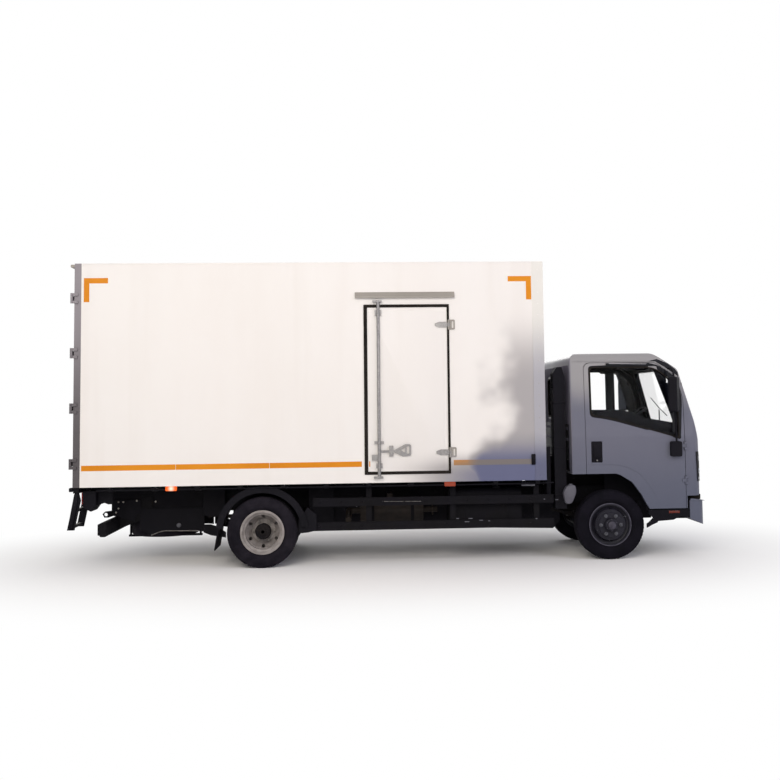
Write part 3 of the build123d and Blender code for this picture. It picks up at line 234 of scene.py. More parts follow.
def gelcoat_panel():
    """Gel-coated fibreglass skin: off-white, satin, faintly rippled where the foam pulls it.

    Rain leaves upright streaks, and a lavender grey painted shade lies low at the front.
    """
    material = surface(
        "gelcoat_fibreglass_panel", "#FAF7F3", "#F7F3EE", 900, 0.5, 0.05, grain=260, lift=0.4, stretch=(1, 1, 0.35),
        **{"Specular IOR Level": 0.3},
    )
    tree, shader, place = parts_of(material)
    base = base_of(shader)
    upright = add(tree, "ShaderNodeMapping", {"Vector": place, "Scale": (4.0, 4.0, 0.22)})
    streak = noise(tree, upright.outputs["Vector"], 1.0, 3.0)
    faint = add(tree, "ShaderNodeMapRange", {"Value": streak, "From Min": 0.5, "From Max": 0.8, "To Max": 0.25})
    streaked = mixed(tree, faint.outputs["Result"], base, linear("#E6DFD6"))
    # lavender grey painted shade in the box's lower front corner
    coloured(tree, shader, in_painted_shade(tree, place, streaked, "#ADA9A9", "#666A88"))
    return material


def cab_enamel():
    """Baked enamel on pressed steel, its grey a painted shade: a warm painted highlight above the glass, painted
    shade at the back and slate painted shade towards the bottom.
    """
    # the grey tone is painted shade: the cab as it lies in shade
    material = surface(
        "baked_enamel", "#6E6F7C", "#6A6B79", 700, 0.4, 0.05, grain=9, lift=0.02,
        **{"Coat Weight": 0.25, "Coat Roughness": 0.2, "Specular IOR Level": 0.25},
    )
    tree, shader, place = parts_of(material)
    base = base_of(shader)
    height = split(tree, place)["Z"]
    drift = noise(tree, place, 1.4, 2.0)
    level = sums(tree, "ADD", height, sums(tree, "MULTIPLY", sums(tree, "SUBTRACT", drift, 0.5), 0.35))
    # painted highlight: lighter above the glass
    lit = mixed(tree, eased_range(tree, level, 1.62, 2.0), base, linear("#9D9B9C"))
    # painted shade on the back of the cab
    behind = split(tree, place)["X"]
    shaded = eased_range(tree, behind, at(-404, 0, 0).x, at(-424, 0, 0).x)
    rear = mixed(tree, shaded, lit, linear("#6F6C78"))
    # painted shade: darker slate towards the bottom
    low = eased_range(tree, height, 1.5, 0.5)
    shaded_below = mixed(tree, low, rear, linear("#5A5E6E"))
    # the faces that look into the cab are lined with black foam-backed felt
    coords = next(n for n in tree.nodes if n.type == "TEX_COORD")
    inside = add(
        tree, "ShaderNodeVectorMath", {0: place, 1: tuple(at(220, 0, 1560))}, operation="SUBTRACT",
    ).outputs["Vector"]
    faces = add(
        tree, "ShaderNodeVectorMath", {0: inside, 1: coords.outputs["Normal"]}, operation="DOT_PRODUCT",
    ).outputs["Value"]
    lined = sums(tree, "MULTIPLY", sums(tree, "LESS_THAN", faces, 0.0), sums(tree, "GREATER_THAN", height, 0.99))
    coloured(tree, shader, mixed(tree, lined, shaded_below, linear("#0C0D12")))
    matt = sums(tree, "SUBTRACT", 1.0, lined)
    tree.links.new(sums(tree, "MULTIPLY", matt, 0.25), shader.inputs["Coat Weight"])
    tree.links.new(sums(tree, "ADD", 0.05, sums(tree, "MULTIPLY", matt, 0.2)), shader.inputs["Specular IOR Level"])
    return material


def anodised():
    """Anodised aluminium: extruded, with die lines; pale on the front corners, greyed there by painted shade."""
    material = surface(
        "anodised_aluminium", "#A6A098", "#9C978F", 400, 0.42, 0.05, 10, 0.03, (1, 1, 0.05),
        **{"Specular IOR Level": 0.3},
    )
    tree, shader, place = parts_of(material)
    base = base_of(shader)
    ahead = split(tree, place)["X"]
    pale = eased_range(tree, ahead, at(-900, 0, 0).x, at(-880, 0, 0).x)
    corner = mixed(tree, pale, base, linear("#EFEDE6"))
    # painted shade greys the pale corners at the box's lower front
    coloured(tree, shader, in_painted_shade(tree, place, corner, "#AEADB4", "#666982"))
    return material


def stainless():
    """Brushed stainless: upright drawn grain, darker towards the road as painted shade."""
    material = surface(
        "brushed_stainless", "#8F8A8E", "#868187", 300, 0.42, 0.06, 14, 0.05, (1, 1, 0.04), Metallic=0.3,
        **{"Specular IOR Level": 0.3},
    )
    tree, shader, place = parts_of(material)
    base = base_of(shader)
    height = split(tree, place)["Z"]
    # painted shade: darker towards the road
    low = eased_range(tree, height, 2.9, 1.3)
    coloured(tree, shader, mixed(tree, low, base, linear("#5C585A")))
    return material


def marker_lens():
    """Amber acrylic side lamps: the rear pair lit, the front pair dull red brown."""
    material = moulded_lens("amber_acrylic", "#F5A06A", 6, 1.0)
    tree, shader, place = parts_of(material)
    ahead, _, height = split(tree, place)
    front = eased_range(tree, ahead, at(-3400, 0, 0).x, at(-3200, 0, 0).x)
    core = add(
        tree, "ShaderNodeVectorMath", {0: place, 1: tuple(at(-4772, 0, 872) * Vector((1, 0, 1)))},
        operation="DISTANCE",
    )
    flat = add(tree, "ShaderNodeCombineXYZ", {"X": ahead, "Z": height})
    tree.links.new(flat.outputs[0], core.inputs[0])
    glow = eased_range(tree, core.outputs["Value"], 0.045, 0.0)
    lit = mixed(tree, glow, linear("#E0651E"), linear("#FFE6D2"))
    tone = mixed(tree, front, lit, linear("#9A3C22"))
    power = add(tree, "ShaderNodeMapRange", {"Value": front, "To Min": 0.5, "To Max": 0.2}).outputs["Result"]
    for label in ("Base Color", "Emission Color"):
        tree.links.new(tone, shader.inputs[label])
    tree.links.new(power, shader.inputs["Emission Strength"])
    return material


def galvanised():
    """Hot-dip galvanised steel: dull grey with zinc spangle about 14 mm across."""
    material = surface("galvanised_steel", "#8F8D8C", "#807E80", 160, 0.46, 0.1, grain=3, lift=0.05, Metallic=0.75)
    tree, shader, place = parts_of(material)
    base = base_of(shader)
    spangle = add(tree, "ShaderNodeTexVoronoi", {"Vector": place, "Scale": 70.0})
    grey = add(tree, "ShaderNodeSeparateColor", {"Color": spangle.outputs["Color"]}).outputs[0]
    share = add(tree, "ShaderNodeMapRange", {"Value": grey, "To Max": 0.4})
    toned = mixed(tree, share.outputs["Result"], base, linear("#B4B2B0"))
    coloured(tree, shader, toned)
    return material


def woven_seat():
    """Woven polyester seat cloth: threads drawn 4 mm apart, coarser than real so that they show."""
    material = surface(
        "woven_polyester", "#33343A", "#2B2C32", 120, 0.85, 0.05, **{"Sheen Weight": 0.3, "Sheen Roughness": 0.5},
    )
    tree, shader, place = parts_of(material)
    warp = add(tree, "ShaderNodeTexWave", {"Vector": place, "Scale": 40.0, "Distortion": 0.4}, bands_direction="Y")
    weft = add(
        tree, "ShaderNodeTexWave", {"Vector": place, "Scale": 40.0, "Distortion": 0.4}, bands_direction="DIAGONAL",
    )
    bumped(tree, shader, 0.7, 0.0015, sums(tree, "MULTIPLY", warp.outputs["Fac"], weft.outputs["Fac"]))
    return material


def marking_tape():
    """Orange reflective film: a saturated face over prisms, drawn as 12 mm cells so that they show."""
    material = surface("reflective_film", "#EC9822", "#E08A14", 700, 0.4, 0.06, **{"Specular IOR Level": 0.2})
    tree, shader, place = parts_of(material)
    base = base_of(shader)
    # painted shade greys the tape at the box's lower front
    coloured(tree, shader, in_painted_shade(tree, place, base, "#A08368", "#7C7776"))
    cells = add(tree, "ShaderNodeTexVoronoi", {"Vector": place, "Scale": 85.0}, feature="DISTANCE_TO_EDGE")
    bumped(tree, shader, 0.25, 0.0006, cells.outputs["Distance"])
    return material


def clear_pane(name, tint, **shader):
    """Glass or clear plastic: a faint tint, seen through, with a film of dust in the gloss."""
    return surface(name, tint, tint, 500, 0.03, 0.02, **{"Transmission Weight": 1.0, "IOR": 1.45, **shader})


def moulded_lens(name, tone, pitch, glow=0.0):
    """Moulded acrylic lens: deep colour with upright prisms inside, pitch millimetres apart."""
    material = surface(name, tone, tone, 60, 0.12, 0.04, **{
        "Transmission Weight": 0.25, "IOR": 1.49, "Emission Color": linear(tone), "Emission Strength": glow,
    })
    tree, shader, place = parts_of(material)
    prisms = add(tree, "ShaderNodeTexWave", {"Vector": place, "Scale": 314 / pitch}, bands_direction="Y")
    bumped(tree, shader, 0.5, 0.001, prisms.outputs["Fac"])
    return material


ROAD = ("#3A3632", 900, 0.16)
DULL = {"Specular IOR Level": 0.1}
FINISH = {
    # Chassis black: alkyd paint, brushed on, dulled by a road film low down
    "chassis_paint": surface("chassis_alkyd_paint", "#0D0C10", "#131218", 300, 0.62, 0.1, 20, 0.2, dust=ROAD, **DULL),
    # Spring steel: painted leaves, rubbed to brown grey where they slide
    "spring_steel": surface("spring_steel", "#121216", "#231F1D", 90, 0.58, 0.1, 12, 0.2, dust=ROAD, **DULL),
    # Cast iron: sand-cast skin, coarse and dark
    "cast_metal": surface("sand_cast_iron", "#161519", "#201D1D", 120, 0.7, 0.08, 5, 0.5, dust=ROAD, **DULL),
    # Moulded polypropylene: near black, even, with a fine leather grain
    "black_plastic": surface("moulded_polypropylene", "#100F15", "#16151B", 260, 0.58, 0.06, 4, 0.12, **DULL),
    # Tyre rubber: cured carbon black rubber, matt, greyed by dust in patches
    "tyre_rubber": surface("tyre_rubber", "#16141B", "#26232A", 140, 0.84, 0.06, 6, 0.3, **DULL),
    # Aluminised steel: dulled and browned by heat
    "exhaust_steel": surface(
        "aluminised_steel", "#2A2726", "#38322E", 180, 0.5, 0.1, 8, 0.1, dust=ROAD, Metallic=0.4, **DULL,
    ),
    "amber_lens": marker_lens(),
    "cab_paint": cab_enamel(),
    "box_panel": gelcoat_panel(),
    "stainless": stainless(),
    "trim_metal": anodised(),
    "galvanised": galvanised(),
    "lamp_glass": clear_pane("clear_polycarbonate", "#E9EDF0"),
    "window_glass": clear_pane("tempered_glass", "#FFFFFF", **{"Specular IOR Level": 0.02, "IOR": 1.12}),
    # Moulded ABS trim: near black, dull, coarse grain
    "trim_plastic": surface("moulded_abs", "#0B0C11", "#101117", 200, 0.66, 0.05, 3, 0.1, **DULL),
    "seat_cloth": woven_seat(),
    # Painted steel rim, front: dark satin slate with brake dust
    "front_rim_paint": surface(
        "rim_dark_enamel", "#1A1922", "#25242E", 80, 0.46, 0.08, 6, 0.05, **{"Specular IOR Level": 0.25},
    ),
    # Painted steel rim, rear: silver grey with brown brake dust
    "rear_rim_paint": surface(
        "rim_silver_enamel", "#A09A97", "#837D7A", 70, 0.44, 0.08, 5, 0.05, **{"Specular IOR Level": 0.3},
    ),
}
# EPDM seal: extruded rubber, black brown and matt
SEAL = surface("epdm_seal", "#28231F", "#1C1917", 200, 0.7, 0.06, 7, 0.1, **DULL)
TAPE = marking_tape()
# Zinc plated fasteners: small and bright, yellowed a little
ZINC = surface("zinc_plate", "#A9A6A0", "#8C8880", 25, 0.34, 0.08, 4, 0.04, Metallic=0.85)
# Ceramic frit and gloss trim: black glass-like border
GLOSS = surface("ceramic_frit", "#0A0B12", "#0E0F16", 300, 0.2, 0.05, **{"Specular IOR Level": 0.2})
# Silvered glass of mirrors and lamp bowls
SILVER = surface("silvered_glass", "#C9CDD2", "#BEC2C8", 200, 0.06, 0.02, Metallic=1.0)
# Mirror glass: dark, a painted reflection of the shaded side of the truck
MIRROR_GLASS = surface("mirror_glass_painted_reflection", "#23262E", "#1E2128", 200, 0.08, 0.02, Metallic=0.9)
# Blank plate: white enamelled aluminium
PLATE = surface("plate_enamel", "#E4E3DE", "#DAD9D4", 120, 0.35, 0.05, 8, 0.03)
RED = moulded_lens("red_acrylic", "#A81C14", 8)
AMBER = moulded_lens("amber_turn_lens", "#D9781E", 8)
CLEAR = moulded_lens("white_acrylic", "#D9DCDD", 8)
DIM_RED = moulded_lens("side_reflector", "#7A2A16", 5)
# Worn bare steel: rubbed edges and bolt ends on the frame
STEEL = surface("bare_steel", "#7D7B7A", "#5F5C59", 30, 0.4, 0.1, 5, 0.05, Metallic=0.8)
# Nylon webbing for the belts: tight grey black weave
WEB = surface("nylon_webbing", "#1C1D20", "#222326", 40, 0.75, 0.05, 2, 0.1)
# Dark slate coat on the back of the cab, rough: painted shade
BACK_SHADE_COAT = surface("cab_back_painted_shade", "#6A6774", "#5C5966", 300, 0.8, 0.06, 6, 0.3, **DULL)
# Front tyre rubber: the same cure, darker than at the back: painted shade
SHADED_RUBBER = surface("shaded_tyre_rubber", "#0C0B12", "#17151D", 140, 0.84, 0.06, 6, 0.3, **DULL)
# Rim edge and hub cap, front: enamel in a lighter slate than the rim
RIM_EDGE = surface("light_slate_rim_enamel", "#4E4C57", "#3C3A44", 60, 0.42, 0.08, 6, 0.05, **{"Specular IOR Level": 0.25})
# Grey zinc: painted glints on the small fittings along the rails; the front wheel nuts take it too
GREY_ZINC = surface("grey_zinc_fittings", "#6F7076", "#55565E", 30, 0.5, 0.08, 5, 0.05, **{"Specular IOR Level": 0.2})
# Polyethylene tank: translucent grey white, a little stained, darkened to lavender grey as painted shade
POLY = surface("polyethylene", "#5B5A63", "#54535C", 60, 0.5, 0.06, 8, 0.1)


# ---------------------------------------------------------------- shapes
def bridge(form, first, second):
    """Faces between two closed rings with as many corners each."""
    for i in range(len(first)):
        j = (i + 1) % len(first)
        form.faces.new((first[i], first[j], second[j], second[i]))


def prism(across, outline, low, high, soft=0.0, steps=2):
    """A closed outline carried along one axis, with its edges broken by soft millimetres."""
    order = {"x": (2, 0, 1), "y": (0, 2, 1), "z": (0, 1, 2)}[across]
    form = bmesh.new()
    ends = []
    for level in (low, high):
        ends.append([form.verts.new(at(*[(a, b, level)[i] for i in order])) for a, b in outline])
    form.faces.new(ends[0])
    form.faces.new(ends[1])
    bridge(form, *ends)
    return eased(form, soft, steps)


def eased(form, soft, steps=2):
    """The form with its normals outward and its sharp edges rounded."""
    bmesh.ops.recalc_face_normals(form, faces=form.faces)
    if soft:
        sharp = [e for e in form.edges if len(e.link_faces) == 2 and e.calc_face_angle(0) > SHARP]
        bmesh.ops.bevel(
            form, geom=sharp, offset=soft * MM, segments=steps, profile=0.5, affect="EDGES", clamp_overlap=True,
        )
    return form


def slab(x0, x1, y0, y1, z0, z1, soft=2.0, steps=2):
    """A block with rounded edges."""
    return prism("z", [(x0, y0), (x1, y0), (x1, y1), (x0, y1)], z0, z1, soft, steps)


def rounded(outline, radius, steps=4):
    """An outline with its corners rounded; radius is one number or one for each corner."""
    found = []
    count = len(outline)
    for i, (bx, by) in enumerate(outline):
        r = radius[i] if isinstance(radius, (list, tuple)) else radius
        ax, ay = outline[i - 1]
        cx, cy = outline[(i + 1) % count]
        before, after = hypot(ax - bx, ay - by), hypot(cx - bx, cy - by)
        cut = min(r, before * 0.48, after * 0.48)
        p = (bx + (ax - bx) / before * cut, by + (ay - by) / before * cut)
        q = (bx + (cx - bx) / after * cut, by + (cy - by) / after * cut)
        for k in range(steps + 1):
            t = k / steps
            found.append((
                (1 - t) ** 2 * p[0] + 2 * t * (1 - t) * bx + t * t * q[0],
                (1 - t) ** 2 * p[1] + 2 * t * (1 - t) * by + t * t * q[1],
            ))
    return found


def rect(a0, a1, b0, b1, radius=0.0):
    """A rectangle's outline, with its corners rounded."""
    corners = [(a0, b0), (a1, b0), (a1, b1), (a0, b1)]
    return rounded(corners, radius) if radius else corners


def border(across, outer, inner, low, high, soft=0.0):
    """A closed band between two outlines with as many points each."""
    order = {"x": (2, 0, 1), "y": (0, 2, 1), "z": (0, 1, 2)}[across]
    form = bmesh.new()
    rows = []
    for outline, level in ((outer, low), (outer, high), (inner, high), (inner, low)):
        rows.append([form.verts.new(at(*[(a, b, level)[i] for i in order])) for a, b in outline])
    for k in range(4):
        bridge(form, rows[k], rows[(k + 1) % 4])
    return eased(form, soft)


def moved_in(outline, by):
    """An outline moved inward by a distance along each edge's normal."""
    count = len(outline)
    area = sum(
        outline[i][0] * outline[(i + 1) % count][1] - outline[(i + 1) % count][0] * outline[i][1]
        for i in range(count)
    )
    turn = 1 if area > 0 else -1
    found = []
    for i in range(count):
        (ax, az), (bx, bz), (cx, cz) = outline[i - 1], outline[i], outline[(i + 1) % count]
        lu, lv = hypot(bx - ax, bz - az), hypot(cx - bx, cz - bz)
        nu = (-(bz - az) / lu * turn, (bx - ax) / lu * turn)
        nv = (-(cz - bz) / lv * turn, (cx - bx) / lv * turn)
        k = by / (1 + nu[0] * nv[0] + nu[1] * nv[1])
        found.append((bx + (nu[0] + nv[0]) * k, bz + (nu[1] + nv[1]) * k))
    return found


def lathe(profile, centre, side=1, steps=72, axis="y"):
    """A closed profile of (across, radius) turned about an axle through centre."""
    form = bmesh.new()
    rings = []
    for k in range(steps):
        a = 2 * pi * k / steps
        ring = []
        for across, radius in profile:
            u, v, w = across * side, radius * cos(a), radius * sin(a)
            x, y, z = {"y": (v, u, w), "x": (u, v, w), "z": (v, w, u)}[axis]
            ring.append(form.verts.new(at(centre[0] + x, centre[1] + y, centre[2] + z)))
        rings.append(ring)
    for k in range(steps):
        bridge(form, rings[k], rings[(k + 1) % steps])
    bmesh.ops.remove_doubles(form, verts=form.verts, dist=1e-6)
    bmesh.ops.dissolve_degenerate(form, edges=form.edges, dist=1e-7)
    bmesh.ops.recalc_face_normals(form, faces=form.faces)
    return form


def pipe(points, radius, sides=12, curved=True):
    """A round bar through points, with rounded bends and closed ends."""
    path = [at(*p) for p in points]
    if curved and len(path) > 2:
        full = [path[0]]
        for i in range(1, len(path) - 1):
            a, b, c = path[i - 1], path[i], path[i + 1]
            cut = min((b - a).length, (c - b).length) * 0.35
            p, q = b + (a - b).normalized() * cut, b + (c - b).normalized() * cut
            full += [p.lerp(b, t).lerp(b.lerp(q, t), t) for t in (0, 0.25, 0.5, 0.75, 1)]
        path = full + [path[-1]]
    form = bmesh.new()
    rings = []
    normal = (path[1] - path[0]).orthogonal().normalized()
    for i, p in enumerate(path):
        ahead = (path[min(i + 1, len(path) - 1)] - path[max(i - 1, 0)]).normalized()
        normal = (normal - ahead * normal.dot(ahead)).normalized()
        other = ahead.cross(normal)
        ring = [
            form.verts.new(p + (normal * cos(2 * pi * k / sides) + other * sin(2 * pi * k / sides)) * radius * MM)
            for k in range(sides)
        ]
        rings.append(ring)
    for a, b in zip(rings, rings[1:]):
        bridge(form, a, b)
    form.faces.new(rings[0])
    form.faces.new(rings[-1])
    bmesh.ops.recalc_face_normals(form, faces=form.faces)
    return form


def dome(radius, height, sides=8):
    """A rivet head on the local XY plane, in metres about the local origin."""
    form = bmesh.new()
    rings = []
    for share, rise in ((1.0, 0.0), (0.86, 0.55), (0.5, 0.9)):
        turns = [2 * pi * k / sides for k in range(sides)]
        corners = [(cos(t) * radius * MM * share, sin(t) * radius * MM * share, rise * height * MM) for t in turns]
        rings.append([form.verts.new(corner) for corner in corners])
    top = form.verts.new((0, 0, height * MM))
    for a, b in zip(rings, rings[1:]):
        bridge(form, a, b)
    for k in range(sides):
        form.faces.new((rings[-1][k], rings[-1][(k + 1) % sides], top))
    form.faces.new(rings[0][::-1])
    bmesh.ops.recalc_face_normals(form, faces=form.faces)
    return form


def hexagon(across, height, chamfer=1.5):
    """A hexagon bolt head or nut on the local XY plane, in metres."""
    form = bmesh.new()
    rings = []
    for share, level in ((1.0, 0.0), (1.0, height - chamfer), (1 - chamfer / across * 1.6, height)):
        turns = [pi * k / 3 for k in range(6)]
        corners = [(cos(t) * across / 2 * MM * share, sin(t) * across / 2 * MM * share, level * MM) for t in turns]
        rings.append([form.verts.new(corner) for corner in corners])
    for a, b in zip(rings, rings[1:]):
        bridge(form, a, b)
    form.faces.new(rings[0][::-1])
    form.faces.new(rings[-1])
    bmesh.ops.recalc_face_normals(form, faces=form.faces)
    return form


def facing(form, towards, centre=(0, 0, 0)):
    """Turn a local shape so that its Z points towards an axis such as "-y", and place it."""
    sign = -1 if towards[0] == "-" else 1
    aim = Vector({"x": (sign, 0, 0), "y": (0, sign, 0), "z": (0, 0, sign)}[towards[-1]])
    form.transform(Vector((0, 0, 1)).rotation_difference(aim).to_matrix().to_4x4())
    form.transform(Matrix.Translation(Vector(centre)))
    return form


# ---------------------------------------------------------------- repeats by Geometry Nodes
def repeat_tree(name, extra):
    """An empty tree with a shape, a count and a material as inputs, besides the extra ones."""
    tree = bpy.data.node_groups.new(name, "GeometryNodeTree")
    wanted = [("Shape", "NodeSocketGeometry"), ("Count", "NodeSocketInt"), ("Finish", "NodeSocketMaterial"), *extra]
    for label, kind in wanted:
        tree.interface.new_socket(name=label, in_out="INPUT", socket_type=kind)
    tree.interface.new_socket(name="Geometry", in_out="OUTPUT", socket_type="NodeSocketGeometry")
    return tree, add(tree, "NodeGroupInput").outputs


def finish_tree(tree, entry, copies):
    """Make the copies real, set their material and end the tree."""
    real = add(tree, "GeometryNodeRealizeInstances", {"Geometry": copies.outputs["Instances"]})
    made = add(tree, "GeometryNodeSetMaterial", {"Geometry": real.outputs["Geometry"], "Material": entry["Finish"]})
    add(tree, "NodeGroupOutput", {"Geometry": made.outputs["Geometry"]})
    return tree


def straight_row_tree():
    """Copies of a shape along a straight row."""
    tree, entry = repeat_tree("straight_row", [("Start", "NodeSocketVector"), ("Step", "NodeSocketVector")])
    line = add(
        tree, "GeometryNodeMeshLine",
        {"Count": entry["Count"], "Start Location": entry["Start"], "Offset": entry["Step"]}, mode="OFFSET",
    )
    copies = add(tree, "GeometryNodeInstanceOnPoints", {"Points": line.outputs["Mesh"], "Instance": entry["Shape"]})
    return finish_tree(tree, entry, copies)


def ring_tree():
    """Copies of a shape about the local Z axis, each turned with its place on the circle."""
    tree, entry = repeat_tree("turned_ring", [("Radius", "NodeSocketFloat")])
    circle = add(tree, "GeometryNodeMeshCircle", {"Vertices": entry["Count"], "Radius": entry["Radius"]})
    index = add(tree, "GeometryNodeInputIndex")
    share = sums(tree, "DIVIDE", index.outputs[0], entry["Count"])
    euler = add(tree, "ShaderNodeCombineXYZ", {"Z": sums(tree, "MULTIPLY", share, 2 * pi)})
    spin = add(tree, "FunctionNodeEulerToRotation", {"Euler": euler.outputs[0]})
    copies = add(tree, "GeometryNodeInstanceOnPoints", {
        "Points": circle.outputs["Mesh"], "Instance": entry["Shape"], "Rotation": spin.outputs[0],
    })
    return finish_tree(tree, entry, copies)


ROW, RING = straight_row_tree(), ring_tree()


def repeated(tree, shape, **inputs):
    """The plain mesh that a repeat tree makes of a shape, as a form."""
    mesh = bpy.data.meshes.new("shape")
    shape.to_mesh(mesh)
    shape.free()
    holder = bpy.data.objects.new("shape", mesh)
    bpy.context.scene.collection.objects.link(holder)
    modifier = holder.modifiers.new("repeat", "NODES")
    modifier.node_group = tree
    for item in tree.interface.items_tree:
        if item.in_out == "INPUT" and item.name in inputs:
            modifier[item.identifier] = inputs[item.name]
    graph = bpy.context.evaluated_depsgraph_get()
    made = bpy.data.meshes.new_from_object(holder.evaluated_get(graph), depsgraph=graph)
    form = bmesh.new()
    form.from_mesh(made)
    bpy.data.objects.remove(holder)
    bpy.data.meshes.remove(mesh)
    bpy.data.meshes.remove(made)
    return form


def row(shape, start, step, count):
    """A straight row of a shape that already faces its way; start and step in millimetres."""
    first = at(*start)
    return repeated(ROW, shape, Count=count, Start=tuple(first), Step=tuple(Vector(step) * MM), Finish=ZINC)


def rivets(radius, height, towards, start, step, count):
    """A straight row of rivet heads."""
    return row(facing(dome(radius, height), towards), start, step, count)


def ring(shape, radius, count, centre, towards, turn=0.0):
    """A ring of a shape about an axis through centre, which the shapes face along."""
    form = repeated(RING, shape, Count=count, Radius=radius * MM, Finish=ZINC)
    form.transform(Matrix.Rotation(radians(turn), 4, "Z"))
    return facing(form, towards, at(*centre))


# ---------------------------------------------------------------- pieces
def piece(name, body, material, forms, smooth=True):
    """One object from several forms, in one finish, riding on one body."""
    mesh = bpy.data.meshes.new(name)
    whole = bmesh.new()
    for form in forms:
        part = bpy.data.meshes.new("part")
        form.to_mesh(part)
        form.free()
        whole.from_mesh(part)
        bpy.data.meshes.remove(part)
    whole.to_mesh(mesh)
    whole.free()
    mesh.materials.clear()
    mesh.materials.append(material)
    for face in mesh.polygons:
        face.material_index = 0
    if smooth:
        mesh.shade_smooth()
        mesh.set_sharp_from_angle(angle=radians(CREASE))
    made = bpy.data.objects.new(name, mesh)
    bpy.context.scene.collection.objects.link(made)
    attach(made, body)
    return made


def fitted(name, body, slot, forms):
    """One object in the plain finish of its slot."""
    return piece(name, body, FINISH[slot], forms)


def cad_tree(*nodes):
    """A ray tree of the surfaces of some CAD nodes."""
    whole = bmesh.new()
    for node in nodes:
        whole.from_mesh(frame["nodes"][node].data)
    tree = BVHTree.FromBMesh(whole)
    whole.free()
    return tree


def cladding(tree, outline, side, lift, thick, cell=40, along="y"):
    """A thin sheet that lies on curved CAD, cut to an outline seen from one side or from the front.

    The outline is (x, z) along Y and (y, z) along X.
    """
    form = bmesh.new()
    flat = along == "x"
    corners = [form.verts.new(at(FRONT_RAY, a, b) if flat else at(a, side * SIDE_RAY, b)) for a, b in outline]
    form.faces.new(corners)
    bmesh.ops.triangulate(form, faces=form.faces)
    first, second = [a for a, _ in outline], [b for _, b in outline]
    for axis, low, high in ((1 if flat else 0, min(first), max(first)), (2, min(second), max(second))):
        level = low + cell
        while level < high:
            point = at(*[level if i == axis else 0 for i in range(3)])
            normal = Vector([float(i == axis) for i in range(3)])
            bmesh.ops.bisect_plane(
                form, geom=form.verts[:] + form.edges[:] + form.faces[:], plane_co=point, plane_no=normal,
            )
            level += cell
    aim = Vector((-1, 0, 0)) if flat else Vector((0, -side, 0))
    lost, lean = [], {}
    front = at(FRONT_SKIN_X, 0, 0).x
    for vert in form.verts:
        hit, normal, _, _ = tree.ray_cast(vert.co, aim)
        if hit is None or (not flat and abs(hit.y) < SKIN_Y) or (flat and (abs(normal.x) < LEAN or hit.x < front)):
            lost.append(vert)
            continue
        lean[vert] = -normal if normal.dot(aim) > 0 else normal
        vert.co = hit + lean[vert] * lift * MM
    bmesh.ops.delete(form, geom=lost, context="VERTS")
    return thickened(form, thick, lean)


def thickened(form, thick, lean):
    """A sheet made solid: a second layer thick millimetres out along each corner's own normal."""
    twin = {v: form.verts.new(v.co + lean[v] * thick * MM) for v in form.verts[:]}
    faces = form.faces[:]
    for edge in [e for e in form.edges if len(e.link_faces) == 1]:
        a, b = edge.verts
        form.faces.new((a, b, twin[b], twin[a]))
    for face in faces:
        form.faces.new([twin[v] for v in face.verts])
    bmesh.ops.recalc_face_normals(form, faces=form.faces)
    return form


def laid_bar(tree, points, radius, lift):
    """A round bar along points of (y, z) on the front of the CAD, lifted off it."""
    path = []
    for (ya, za), (yb, zb) in zip(points, points[1:]):
        for k in range(8):
            t = k / 8
            y, z = ya + (yb - ya) * t, za + (zb - za) * t
            hit, normal, _, _ = tree.ray_cast(at(FRONT_RAY, y, z), Vector((-1, 0, 0)))
            if hit is not None:
                spot = hit + (normal if normal.x > 0 else -normal) * lift * MM
                path.append((spot.x / MM + ORIGIN_X, spot.y / MM, spot.z / MM))
    return pipe(path, radius, 8, False)


# ---------------------------------------------------------------- camera, floor and light
PHOTO = {
    "size": 780.0, "focal": 1105.0, "centre": (430.0, 323.3), "stands": (-2711, -13145, 1753),
    "yaw": 3.463, "pitch": 4.1, "roll": -0.719,
}


def place_camera():
    """The photograph's own view: far back at standing height, with the frame's small shift."""
    yaw, pitch, roll = (radians(PHOTO[turn]) for turn in ("yaw", "pitch", "roll"))
    aim = Vector((sin(yaw) * cos(pitch), cos(yaw) * cos(pitch), sin(pitch)))
    right = aim.cross(Vector((0, 0, 1))).normalized()
    up = right.cross(aim)
    right, up = right * cos(roll) + up * sin(roll), up * cos(roll) - right * sin(roll)
    data = bpy.data.cameras.new("camera")
    made = bpy.data.objects.new("camera", data)
    bpy.context.scene.collection.objects.link(made)
    image, (centre_x, centre_y) = PHOTO["size"], PHOTO["centre"]
    data.sensor_width = 36.0
    data.lens = PHOTO["focal"] / image * data.sensor_width
    data.shift_x, data.shift_y = (image / 2 - centre_x) / image, (centre_y - image / 2) / image
    data.clip_end = 200.0
    turn = Matrix((right, up, -aim)).transposed().to_4x4()
    made.matrix_world = Matrix.Translation(at(*PHOTO["stands"])) @ turn
    bpy.context.scene.camera = made


